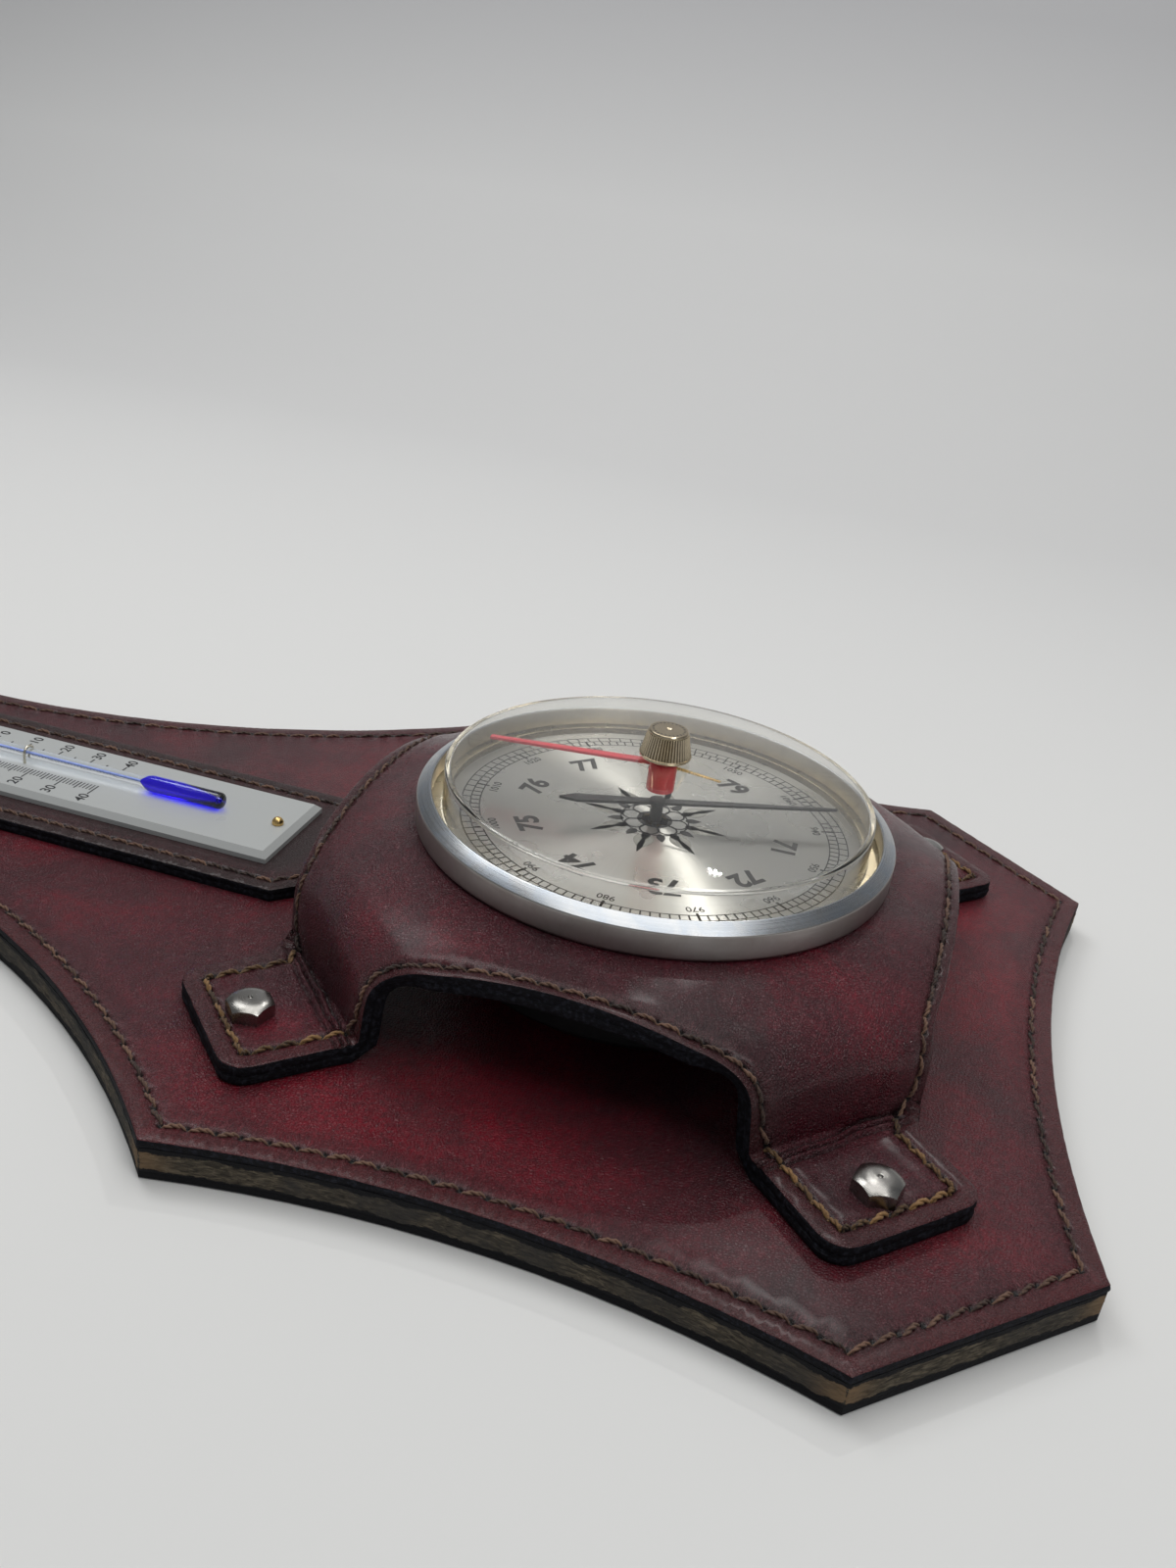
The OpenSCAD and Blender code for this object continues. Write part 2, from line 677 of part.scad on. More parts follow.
// The C-shaped leaf that holds the capsule open
module main_spring() {
    foot_z = works_z;
    bend_out = (leaf_z + leaf_t - foot_z) / 2;
    bend_c = [leaf_back_x, foot_z + bend_out];
    color([0.35, 0.36, 0.40]) difference() {
        rotate([90, 0, 0]) translate([0, 0, -leaf_w / 2]) linear_extrude(leaf_w) polygon(concat(
            [[leaf_back_x + 8, foot_z]], sweep(bend_c, bend_out, 270, 90),
            [[leaf_tip_x, leaf_z + leaf_t], [leaf_tip_x, leaf_z]],
            sweep(bend_c, bend_out - leaf_t, 90, 270), [[leaf_back_x + 8, foot_z + leaf_t]]));
        translate([0, 0, leaf_z - 1]) cylinder(r = post_r + slip, h = leaf_t + 2);
        for (y = [-foot_screw_y, foot_screw_y]) translate([foot_screw_x, y, foot_z - 1])
            cylinder(r = small_screw_r, h = leaf_t + 2);
        for (s = [-1, 1]) translate([4, s * (leaf_w / 4 + 2) - (s < 0 ? leaf_w / 2 : 0), leaf_z - 1])
            cube([leaf_tip_x, leaf_w / 2, leaf_t + 2]);
    }
}

module spring_screws() {
    color([0.7, 0.7, 0.7]) for (y = [-foot_screw_y, foot_screw_y])
        translate([foot_screw_x, y, works_z]) {
        cylinder(r = small_screw_r, h = leaf_t);
        translate([0, 0, leaf_t]) cylinder(r = small_head_r, h = small_head_h);
    }
}

module pillars() {
    color([0.75, 0.68, 0.45]) for (s = [-1, 1]) translate([0, s * pillar_y, works_z])
        cylinder(r = pillar_r, h = bridge_z - works_z);
}

// A bar across the pillars that guides the arbor
module cross_bar(z, t) {
    difference() {
        union() {
            translate([-bar_w / 2, -pillar_y, z]) cube([bar_w, 2 * pillar_y, t]);
            for (s = [-1, 1]) translate([0, s * pillar_y, z]) cylinder(r = 4, h = t);
        }
        translate([0, 0, z - 1]) cylinder(r = arbor_r + slip, h = t + 2);
        children();
    }
}

module arbor_bridge() {
    color([0.78, 0.70, 0.46]) cross_bar(bridge_z, bridge_t) {
        for (s = [-1, 1]) translate([0, s * pillar_y, bridge_z - 1]) cylinder(r = 1.2, h = bridge_t + 2);
    }
}

module arbor_cock() {
    color([0.78, 0.70, 0.46]) cross_bar(cock_z, bridge_t) {
        for (s = [-1, 1]) translate([0, s * pillar_y, cock_z - 1]) cylinder(r = pillar_r, h = bridge_t + 2);
    }
}

module bridge_screws() {
    color([0.7, 0.7, 0.7]) for (s = [-1, 1]) translate([0, s * pillar_y, bridge_z]) {
        cylinder(r = 1.2, h = bridge_t);
        translate([0, 0, bridge_t]) cylinder(r = small_head_r, h = 1);
    }
}

// Two ears with the pivot holes of the rocking shaft
module rocker_bearings() {
    color([0.75, 0.68, 0.45]) for (s = [-1, 1]) difference() {
        translate([rocker_x - 2, s * 9 - 1, works_z]) cube([4, 2, rocker_z + 2.5 - works_z]);
        translate([rocker_x, s * 9 - 2, rocker_z]) rotate([-90, 0, 0]) cylinder(r = pivot_r + slip, h = 4);
    }
}

// A flat spiral above the drum, pinned at its outer end to the bridge
module hairspring() {
    turns = 3;
    steps = 18 * turns;
    start_r = 2.2;
    pitch = 0.9;
    z = bridge_z - 2.9;
    function spiral(i, off) = let (t = 90 + 360 * i / 18) (start_r + pitch * i / 18 + off) * [cos(t), sin(t)];
    stud = start_r + pitch * turns;
    color([0.4, 0.42, 0.5]) {
        translate([0, 0, z]) linear_extrude(0.8) polygon(concat(
            [for (i = [0 : steps]) spiral(i, 0.12)], [for (i = [steps : -1 : 0]) spiral(i, -0.12)]));
        translate([-0.5, stud - 0.1, z]) cube([1, 1, bridge_z - z]);
    }
}

// The long lever from the spring's lip to the rocking shaft
module lever() {
    color([0.72, 0.72, 0.74]) difference() {
        union() {
            translate([lever_pivot_x, 4, lever_z]) rotate([90, 0, 0]) cylinder(r = lever_boss_r, h = 8);
            translate([lever_pivot_x, -1.5, lever_z - 0.6]) cube([rocker_x - 3 - lever_pivot_x, 3, 1.2]);
        }
        translate([lever_pivot_x, 5, lever_z]) rotate([90, 0, 0]) cylinder(r = pivot_r + slip, h = 10);
    }
}

// The lever's hinge pin, in two lugs on the spring's lip
module lever_pin() {
    color([0.7, 0.7, 0.72]) {
        translate([lever_pivot_x, 6, lever_z]) rotate([90, 0, 0]) cylinder(r = pivot_r, h = 12);
        for (s = [-1, 1]) translate([leaf_tip_x, s * 5.2 - 0.8, lever_z - leaf_t / 2])
            cube([lever_pivot_x + 1 - leaf_tip_x, 1.6, leaf_t]);
    }
}

// The rocking shaft with its short arm to the lever and its long arm to the chain
module rocker() {
    short_arm = 5;
    push_pin_l = 3.8;
    color([0.72, 0.72, 0.74]) {
        translate([rocker_x, 10, rocker_z]) rotate([90, 0, 0]) cylinder(r = pivot_r, h = 20);
        translate([rocker_x, 6, rocker_z]) rotate([90, 0, 0]) cylinder(r = 1.5, h = 12);
        translate([rocker_x, 0, rocker_z]) rotate([0, rocker_lean, 0]) {
            translate([-short_arm, -1, -0.5]) cube([short_arm, 2, 1]);
            translate([-short_arm, 0, -push_pin_l]) cylinder(r = 0.5, h = push_pin_l);
            translate([-0.5, drum_r + 0.5, 0]) cube([1, 1.6, rocker_arm - 0.9]);
        }
    }
}

// The fine chain from the rocking arm to the arbor's drum
module chain() {
    start = -1.5;
    end = rocker_x + rocker_arm * sin(rocker_lean) - 1;
    pitch = 1.2;
    links = floor((end - start) / pitch);
    color([0.5, 0.5, 0.52]) for (i = [0 : links])
        translate([start + i * pitch, drum_r + 0.4, drum_z]) {
            rotate([-90, 0, 0]) cylinder(r = 0.42, h = 0.5);
            translate([0, i % 2 == 0 ? 0 : 0.2, -0.25]) cube([min(pitch, end - start - i * pitch), 0.3, 0.5]);
        }
}

module arbor() {
    color([0.7, 0.7, 0.72]) {
        translate([0, 0, cock_z - 1]) cylinder(r = arbor_r, h = hand_z - cock_z);
        translate([0, 0, drum_z - 0.8]) cylinder(r = drum_r, h = 1.6);
        translate([0, 0, bridge_z - 3]) cylinder(r = 1.6, h = 1.4);
    }
}

// The black hand: a needle that widens to the hub and a pointed spade tail
module reading_hand() {
    color([0.10, 0.11, 0.13]) rotate(reading_dir) {
        translate([0, 0, dial_z - 0.4]) difference() {
            cylinder(r = 1.7, h = hand_z - dial_z + 0.4);
            translate([0, 0, -1]) cylinder(r = arbor_r, h = hand_z - dial_z + 0.4);
        }
        translate([0, 0, hand_z]) linear_extrude(hand_t) polygon([[reading_l, 0], [reading_l - 3, 0.35],
            [2, 1.15], [-12, 1.0], [-reading_tail + 5, 1.7], [-reading_tail, 0],
            [-reading_tail + 5, -1.7], [-12, -1.0], [2, -1.15], [reading_l - 3, -0.35]]);
        translate([0, 0, hand_z]) cylinder(r = 1.9, h = hand_t + 0.3);
    }
}

// The red hand slopes down to stay under the dome, and ends square
module set_hand() {
    color([0.75, 0.10, 0.16]) rotate(set_dir) difference() {
        union() {
            translate([0, 0, set_top - bush_h]) cylinder(r = bush_d / 2, h = bush_h);
            translate([0, 0, set_top - set_t]) rotate([0, set_slope, 0]) linear_extrude(set_t)
                polygon([[0, -1.5], [set_l, -0.9], [set_l, 0.9], [0, 1.5]]);
            translate([0, 0, set_top - set_t]) rotate([0, -set_slope / 2, 0]) linear_extrude(set_t)
                polygon([[0, 1.3], [-set_tail, 0.5], [-set_tail, -0.5], [0, -1.3]]);
        }
        translate([0, 0, set_top - bush_h - 1]) cylinder(r = stem_r, h = bush_h + 2);
    }
}

// A cone with fine knurls, a turned rim and a flat top
module knob() {
    wide = knob_d / 2;
    top = knob_top_d / 2;
    rim_h = 1.2;
    cap_h = 0.9;
    knurl_h = knob_h - rim_h - cap_h;
    knurl_r = wide - 0.15;
    depth = 0.22;
    taper = (top + 0.35) / knurl_r;
    core_r = knurl_r - 2 * depth;
    stem_z = set_top - bush_h;
    function tooth(i) = let (t = 180 * i / knurls) (knurl_r - (i % 2) * depth) * [cos(t), sin(t)];
    color([0.78, 0.74, 0.64]) {
        translate([0, 0, knob_z + rim_h]) linear_extrude(knurl_h, scale = taper)
            polygon([for (i = [0 : 2 * knurls - 1]) tooth(i)]);
        translate([0, 0, knob_z]) rotate_extrude() polygon([[0, 0], [wide - 0.9, 0], [wide, rim_h - 0.4],
            [wide, rim_h], [core_r, rim_h], [core_r * taper, rim_h + knurl_h], [top, rim_h + knurl_h],
            [top, knob_h - 0.3], [top - 0.3, knob_h], [0, knob_h]]);
        translate([0, 0, stem_z]) cylinder(r = stem_r - slip / 2, h = knob_z - stem_z);
    }
}

module adjusting_screw() {
    head_z = skin_z - adjuster_head_h - slip;
    slot_w = 0.8;
    slot_depth = 0.7;
    color([0.72, 0.66, 0.45]) translate([adjuster_x, 0, head_z]) {
        translate([0, 0, adjuster_head_h])
            cylinder(r = adjuster_r, h = works_z - head_z - adjuster_head_h - 2 * slip);
        difference() {
            cylinder(r = adjuster_head_r, h = adjuster_head_h);
            translate([-adjuster_head_r - over, -slot_w / 2, -over])
                cube([2 * (adjuster_head_r + over), slot_w, over + slot_depth]);
        }
    }
}

board_backing();
board_core();
board_leather();
hanger_plate();
hanger_screws();
cover_leather();
cover_lining();
cover_bolts();
tee_nuts();
pad_core();
pad_leather();
scale_plate();
thermometer_tube();
thermometer_spirit();
tube_clips();
plate_pins();
bezel();
crystal();
dial();
case();
case_screws();
movement_plate();
capsule();
capsule_post();
main_spring();
spring_screws();
pillars();
arbor_bridge();
arbor_cock();
bridge_screws();
rocker_bearings();
hairspring();
lever();
lever_pin();
rocker();
chain();
arbor();
reading_hand();
set_hand();
knob();
adjusting_screw();
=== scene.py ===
import bpy
import math
import numpy as np
from mathutils import Matrix, Vector, kdtree
from mathutils.geometry import delaunay_2d_cdt


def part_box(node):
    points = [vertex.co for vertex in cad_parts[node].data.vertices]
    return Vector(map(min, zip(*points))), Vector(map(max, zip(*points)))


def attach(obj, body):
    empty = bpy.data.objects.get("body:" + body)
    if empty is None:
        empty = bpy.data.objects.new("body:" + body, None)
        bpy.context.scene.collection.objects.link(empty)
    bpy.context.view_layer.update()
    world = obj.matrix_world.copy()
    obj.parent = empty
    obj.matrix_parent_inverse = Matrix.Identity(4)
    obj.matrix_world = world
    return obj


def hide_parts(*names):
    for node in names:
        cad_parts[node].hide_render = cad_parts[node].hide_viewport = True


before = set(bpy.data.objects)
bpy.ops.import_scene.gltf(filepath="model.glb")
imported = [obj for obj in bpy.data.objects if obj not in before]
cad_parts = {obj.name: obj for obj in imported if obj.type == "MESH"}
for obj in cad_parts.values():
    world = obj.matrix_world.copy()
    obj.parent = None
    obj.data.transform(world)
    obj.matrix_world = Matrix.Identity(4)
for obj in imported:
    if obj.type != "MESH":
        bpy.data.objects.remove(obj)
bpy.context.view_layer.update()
mm = 0.001  # sizes below are in millimetres, meshes are in metres
rootTwo = math.sqrt(2)
tiny = 1e-6


def boxOf(node):
    low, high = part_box(node)
    return np.array(low) / mm, np.array(high) / mm


boardTop = boxOf("board_leather")[1][2]
coreLow, coreHigh = boxOf("board_core")[0][2], boxOf("board_core")[1][2]
coverTop = boxOf("cover_leather")[1][2]
dialTop = boxOf("dial")[1][2]
plateTop = boxOf("scale_plate")[1][2]


# Numbers and outlines

def softNoise(points, size, seed=0):  # smooth noise from -1 to 1, in cells of that size
    p = np.asarray(points, float) / size
    cell = np.floor(p).astype(np.int64)
    part = p - cell
    part = part * part * (3 - 2 * part)
    total = np.zeros(len(p))
    for corner in np.ndindex(*(2,) * p.shape[1]):
        mixed = np.full(len(p), seed * 97 + 13, np.int64)
        for axis, prime in enumerate((73856093, 19349663, 83492791)[:p.shape[1]]):
            mixed = mixed ^ ((cell[:, axis] + corner[axis]) * prime)
        mixed = ((mixed ^ (mixed >> 13)) * 1274126177) & 0x7FFFFFFF
        total += np.prod(np.where(corner, part, 1 - part), axis=1) * (mixed / 0x3FFFFFFF - 1)
    return total


def bell(x, width):
    return np.exp(-(np.asarray(x) / width) ** 2)


def rise(x, low, high):  # climbs smoothly from 0 to 1
    t = np.clip((np.asarray(x, float) - low) / (high - low), 0, 1)
    return t * t * (3 - 2 * t)


def bow(p, q, sag, gap):  # an arc from p to q that swings left by sag
    p, q = np.array(p, float), np.array(q, float)
    chord = np.linalg.norm(q - p)
    t = np.linspace(0, 1, max(2, round(chord / gap)) + 1)
    if abs(sag) < tiny:
        return p + t[:, None] * (q - p)
    along = (q - p) / chord
    left = np.array([-along[1], along[0]])
    radius = (chord ** 2 / 4 + sag ** 2) / (2 * sag)
    turn = math.asin(chord / 2 / radius) * (2 * t - 1)
    ahead = np.outer(chord / 2 + radius * np.sin(turn), along)
    return p + ahead + np.outer(radius * (np.cos(turn) - 1) + sag, left)


def arc(center, radius, start, end, count):
    a = np.radians(np.linspace(start, end, count))
    return np.array(center) + radius * np.column_stack([np.cos(a), np.sin(a)])


def mirrored(points, axis):
    return points[::-1] * (np.array([-1, 1]) if axis == 0 else np.array([1, -1]))


def steps(loop):  # how far each point is from the one before
    return np.linalg.norm(loop - np.roll(loop, 1, axis=0), axis=1)


def withoutDoubles(loop, closest=0.06):
    return loop[steps(loop) > closest]


def evenly(points, gap, closed=False):  # the same line with its points a gap apart
    if closed:
        points = np.vstack([points, points[:1]])
    length = np.concatenate([[0], np.cumsum(np.linalg.norm(np.diff(points, axis=0), axis=1))])
    at = np.linspace(0, length[-1], max(1, round(length[-1] / gap)) + 1)
    line = np.column_stack([np.interp(at, length, points[:, k]) for k in range(points.shape[1])])
    return line[:-1] if closed else line


def subdivided(loop, gap):  # fills long steps and keeps every given corner
    parts = []
    for p, q in zip(loop, np.roll(loop, -1, axis=0)):
        count = max(1, round(np.linalg.norm(q - p) / gap))
        parts.append(p + np.linspace(0, 1, count, endpoint=False)[:, None] * (q - p))
    return np.vstack(parts)


def loopNormals(loop):  # outward on an anticlockwise loop, longer at corners to keep an inset even
    total = np.zeros_like(loop)
    for side in (loop - np.roll(loop, 1, axis=0), np.roll(loop, -1, axis=0) - loop):
        side = side / np.linalg.norm(side, axis=1)[:, None]
        total += np.column_stack([side[:, 1], -side[:, 0]])
    sharpest = 1.2  # keeps the normal of a very sharp corner from growing without end
    return total * (2 / np.maximum((total ** 2).sum(axis=1), sharpest))[:, None]


def nearest(points, targets):  # distance to the closest target, and which it is
    tree = kdtree.KDTree(len(targets))
    for i, t in enumerate(targets):
        tree.insert((t[0], t[1], 0), i)
    tree.balance()
    found = [tree.find((p[0], p[1], 0)) for p in points]
    return np.array([f[2] for f in found]), np.array([f[1] for f in found])


def inside(points, loops):
    odd = np.zeros(len(points), bool)
    for loop in loops:
        for p, q in zip(loop, np.roll(loop, -1, axis=0)):
            crosses = (p[1] > points[:, 1]) != (q[1] > points[:, 1])
            if crosses.any():
                x = p[0] + (points[crosses, 1] - p[1]) * (q[0] - p[0]) / (q[1] - p[1])
                odd[crosses] ^= points[crosses, 0] < x
    return odd


def insetLoop(loop, depth):  # depth is one number, or a function that gives one for each point
    fine = evenly(loop, 0.3, True)
    deep = depth(fine) if callable(depth) else np.full(len(fine), depth)
    shifted = fine - loopNormals(fine) * deep[:, None]
    away, _ = nearest(shifted, fine)
    return shifted[away > deep * 0.97]  # without the loops that it makes inside a corner


def seam(loop, depth, pitch):  # the needle holes of a row of stitches inside an edge
    gap, reach, cornerTurn = 0.5, 5, math.radians(28)
    path = evenly(insetLoop(loop, depth), gap, True)
    before = path - np.roll(path, reach, axis=0)
    after = np.roll(path, -reach, axis=0) - path
    turn = np.abs(np.angle((after[:, 0] + 1j * after[:, 1]) / (before[:, 0] + 1j * before[:, 1])))
    corners = []
    for i in np.argsort(-turn):
        apart = min([min(abs(i - c), len(path) - abs(i - c)) for c in corners], default=len(path))
        if turn[i] > cornerTurn and apart > 2 * reach:
            corners.append(i)
    corners = sorted(corners) or [0]
    holes = []
    for here, there in zip(corners, corners[1:] + [corners[0] + len(path)]):
        count = max(1, round((there - here) * gap / pitch))
        holes += [path[round(here + (there - here) * k / count) % len(path)] for k in range(count)]
    return np.array(holes)


# Meshes

def finishPiece(mesh, name, looks=None, body="frame", kinds=None, crease=40, stands=(), slot=None,
                marks=None):
    mesh.name = name
    if looks:
        mesh.materials.clear()
        for look in looks:
            mesh.materials.append(look)
    if kinds is not None:
        mesh.polygons.foreach_set("material_index", np.asarray(kinds, np.int32))
    mesh.shade_smooth()
    mesh.set_sharp_from_angle(angle=math.radians(crease))
    for key, values in (marks or {}).items():
        mesh.attributes.new(key, "FLOAT", "POINT").data.foreach_set("value", np.asarray(values, np.float32))
    piece = bpy.data.objects.new(name, mesh)
    bpy.context.scene.collection.objects.link(piece)
    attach(piece, body)
    if stands:
        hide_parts(*stands)
    return piece


def rawMesh(verts, faces, name="rough"):
    mesh = bpy.data.meshes.new(name)
    mesh.from_pydata((np.asarray(verts) * mm).tolist(), [], [[int(i) for i in face] for face in faces])
    return mesh


def addPiece(name, shape, looks, **rest):
    return finishPiece(rawMesh(*shape), name, looks, **rest)


def evaluated(data, setUp=None):  # a mesh or text after its modifier, as a plain mesh
    holder = bpy.data.objects.new("holder", data)
    bpy.context.scene.collection.objects.link(holder)
    if setUp:
        setUp(holder)
    graph = bpy.context.evaluated_depsgraph_get()
    graph.update()
    made = bpy.data.meshes.new_from_object(holder.evaluated_get(graph))
    bpy.data.objects.remove(holder)
    return made


def arrays(mesh):
    co = np.zeros(len(mesh.vertices) * 3)
    mesh.vertices.foreach_get("co", co)
    return co.reshape(-1, 3) / mm, [list(p.vertices) for p in mesh.polygons]


def beveled(shape, width, segments=2, angle=30):
    def setUp(holder):
        soft = holder.modifiers.new("edges", "BEVEL")
        soft.width = width * mm
        soft.segments = segments
        soft.limit_method = "ANGLE"
        soft.angle_limit = math.radians(angle)
    return arrays(evaluated(rawMesh(*shape), setUp))


def kindsRound(section, count, rule):  # the finish of each face of a lathe shape, by its place in the section
    kinds = []
    for p, q in zip(section, section[1:] + section[:1]):
        if max(p[0], q[0]) > tiny:
            flat = abs(q[0] - p[0]) > abs(q[1] - p[1])
            kinds.append(rule((p[0] + q[0]) / 2, (p[1] + q[1]) / 2, flat))
    return np.repeat(kinds, count)


def lathe(profile, count=192):  # an anticlockwise section, (radius, height), turned about Z
    turns = np.linspace(0, 2 * math.pi, count, endpoint=False)
    verts, rings = [], []
    for r, z in profile:
        if r < tiny:
            rings.append([len(verts)] * count)
            verts.append((0, 0, z))
        else:
            rings.append(list(range(len(verts), len(verts) + count)))
            verts += [(r * math.cos(t), r * math.sin(t), z) for t in turns]
    faces = []
    for low, high in zip(rings, rings[1:] + rings[:1]):
        if low[0] == low[1] and high[0] == high[1]:
            continue
        for j in range(count):
            n = (j + 1) % count
            loop = [low[j], low[n], high[n], high[j]]
            faces.append([v for i, v in enumerate(loop) if v not in loop[:i]])
    return np.array(verts), faces


def fillet(before, corner, after, radius, steps=4):
    before, corner, after = (np.array(p, float) for p in (before, corner, after))
    room = min(radius, 0.45 * np.linalg.norm(before - corner), 0.45 * np.linalg.norm(after - corner))
    a = corner + (before - corner) / np.linalg.norm(before - corner) * room
    b = corner + (after - corner) / np.linalg.norm(after - corner) * room
    shares = np.linspace(0, 1, steps + 1)
    return [tuple((1 - t) ** 2 * a + 2 * t * (1 - t) * corner + t * t * b) for t in shares]


def rounded(section, radius, steps=4):  # the same section with its corners rounded off, but not on the axis
    out = []
    for i, corner in enumerate(section):
        after = section[(i + 1) % len(section)]
        out += [corner] if corner[0] < tiny else fillet(section[i - 1], corner, after, radius, steps)
    return out


def prism(outline, low, high):
    n = len(outline)
    verts = np.vstack([np.column_stack([outline, np.full(n, z)]) for z in (low, high)])
    faces = [list(range(n))[::-1], list(range(n, 2 * n))]
    faces += [[i, (i + 1) % n, n + (i + 1) % n, n + i] for i in range(n)]
    return verts, faces


def joined(*shapes):
    verts, faces, base = [], [], 0
    for v, f in shapes:
        verts.append(np.asarray(v, float))
        faces += [[i + base for i in face] for face in f]
        base += len(v)
    return np.vstack(verts), faces


def turned(shape, about="Z", angle=0, shift=(0, 0, 0)):
    spin = np.array(Matrix.Rotation(math.radians(angle), 3, about))
    return np.asarray(shape[0]) @ spin.T + np.array(shift), shape[1]


printDepth = 0.03


def figures(text, size, weight=0.0):  # printed numbers, lying flat and centred
    curve = bpy.data.curves.new("figures", "FONT")
    curve.body = text
    curve.size = size
    curve.offset = weight
    curve.align_x = "CENTER"
    curve.align_y = "CENTER"
    curve.extrude = printDepth / 2
    curve.resolution_u = 3
    verts, faces = arrays(evaluated(curve))
    return verts * mm, faces


# Short ways to add nodes, for materials and for geometry alike

class Nodes:
    def add(self, kind, values=None, **settings):
        node = self.tree.nodes.new(kind)
        for key, value in settings.items():
            setattr(node, key, value)
        return self.feed(node, values or {})

    def feed(self, node, values):
        for key, value in values.items():
            socket = node.inputs[key.replace("_", " ") if isinstance(key, str) else key]
            if isinstance(value, bpy.types.NodeSocket):
                self.tree.links.new(value, socket)
            elif socket.type == "RGBA" and len(value) == 3:
                socket.default_value = (*value, 1)
            else:
                socket.default_value = value
        return node

    def made(self, kind, values=None, **settings):  # adds a node and gives its first output
        return self.add(kind, values, **settings).outputs[0]

    def calc(self, operation, *values):
        return self.made("ShaderNodeMath", dict(enumerate(values)), operation=operation)

    def times(self, a, b):
        return self.calc("MULTIPLY", a, b)

    def plus(self, a, b):
        return self.calc("ADD", a, b)

    def vector(self, x=0.0, y=0.0, z=0.0):
        return self.made("ShaderNodeCombineXYZ", {0: x, 1: y, 2: z})


class Growth(Nodes):  # a geometry node tree with named sizes
    kinds = {int: "NodeSocketInt", float: "NodeSocketFloat", bpy.types.Material: "NodeSocketMaterial"}

    def __init__(self, name, **sizes):
        self.tree = bpy.data.node_groups.new(name, "GeometryNodeTree")
        self.tree.is_modifier = True
        self.tree.interface.new_socket("Geometry", in_out="INPUT", socket_type="NodeSocketGeometry")
        self.keys = {}
        for key, value in sizes.items():
            kind = self.kinds.get(type(value), "NodeSocketObject")
            self.keys[key] = self.tree.interface.new_socket(key, in_out="INPUT", socket_type=kind).identifier
        self.tree.interface.new_socket("Geometry", in_out="OUTPUT", socket_type="NodeSocketGeometry")
        self.given = self.add("NodeGroupInput").outputs
        self.sizes = sizes

    def ends(self, geometry, look):
        geometry = self.made("GeometryNodeRealizeInstances", {0: geometry})
        geometry = self.made("GeometryNodeSetMaterial", {"Geometry": geometry, "Material": look})
        self.add("NodeGroupOutput", {0: geometry})

    def grow(self, mesh, **changes):
        def setUp(holder):
            growth = holder.modifiers.new("growth", "NODES")
            growth.node_group = self.tree
            for key, value in {**self.sizes, **changes}.items():
                growth[self.keys[key]] = value
        return evaluated(mesh, setUp)

    def named(self, name, kind="FLOAT_VECTOR"):
        return self.made("GeometryNodeInputNamedAttribute", {"Name": name}, data_type=kind)

    def random(self, low, high, seed):
        return self.add("FunctionNodeRandomValue", {2: low, 3: high, 8: seed}, data_type="FLOAT").outputs[1]


def pointCloud(positions, **marks):  # loose points with named numbers or directions
    mesh = rawMesh(positions, [])
    for key, values in marks.items():
        values = np.asarray(values, np.float32)
        kind, field = ("FLOAT_VECTOR", "vector") if values.ndim == 2 else ("FLOAT", "value")
        mesh.attributes.new(key, kind, "POINT").data.foreach_set(field, values.ravel())
    return mesh


class Look(Nodes):  # a material built round one Principled shader
    def __init__(self, name, **sockets):
        self.material = bpy.data.materials.new(name)
        self.material.use_nodes = True
        self.tree = self.material.node_tree
        self.shader = self.tree.nodes["Principled BSDF"]
        self.place = self.add("ShaderNodeTexCoord").outputs["Object"]
        self.feed(self.shader, sockets)

    def stretched(self, scale, turn=(0, 0, 0)):
        values = {"Vector": self.place, "Scale": scale, "Rotation": turn}
        return self.made("ShaderNodeMapping", values)

    def noise(self, scale, detail=3, rough=0.5, twist=0.0, vector=None):
        values = {"Vector": vector or self.place, "Scale": scale, "Detail": detail, "Roughness": rough}
        return self.made("ShaderNodeTexNoise", {**values, "Distortion": twist})

    def cells(self, scale, feature="F1", vector=None):
        values = {"Vector": vector or self.place, "Scale": scale}
        return self.made("ShaderNodeTexVoronoi", values, feature=feature)

    def ramp(self, value, *stops):
        node = self.add("ShaderNodeValToRGB", {0: value})
        points = node.color_ramp.elements
        while len(points) < len(stops):
            points.new(0.5)
        for point, (at, color) in zip(points, stops):
            point.position = at
            point.color = (*color, 1)
        return node.outputs[0]

    def range(self, value, low, high, start=0.0, end=1.0):
        return self.made("ShaderNodeMapRange", {0: value, 1: low, 2: high, 3: start, 4: end})

    def blend(self, factor, a, b, mode="MIX"):
        mix = self.add("ShaderNodeMix", {0: factor, 6: a, 7: b}, data_type="RGBA", blend_type=mode)
        return mix.outputs[2]

    def mark(self, name):
        return self.add("ShaderNodeAttribute", attribute_name=name).outputs["Fac"]

    def bump(self, height, depth, strength=1.0, under=None):  # depth in millimetres
        values = {"Height": height, "Distance": depth * mm, "Strength": strength}
        if under is not None:
            values["Normal"] = under
        return self.made("ShaderNodeBump", values)

    def radius(self):  # the distance from the Z axis, and the three coordinates
        parts = self.add("ShaderNodeSeparateXYZ", {0: self.place}).outputs
        squares = self.plus(self.times(parts[0], parts[0]), self.times(parts[1], parts[1]))
        return self.calc("SQRT", squares), parts

    def done(self, **sockets):
        self.feed(self.shader, sockets)
        return self.material


# Materials

# the lighter tone where stitches pull the leather, a darker line along the stitches, and painted shade in the
# needle holes and the crease
pullToneAndShade = {"pull": (0.27, 0.10, 0.115), "seam": (0.022, 0.008, 0.008), "hole": (0.004, 0.002, 0.002),
         "fold": (0.008, 0.003, 0.003)}


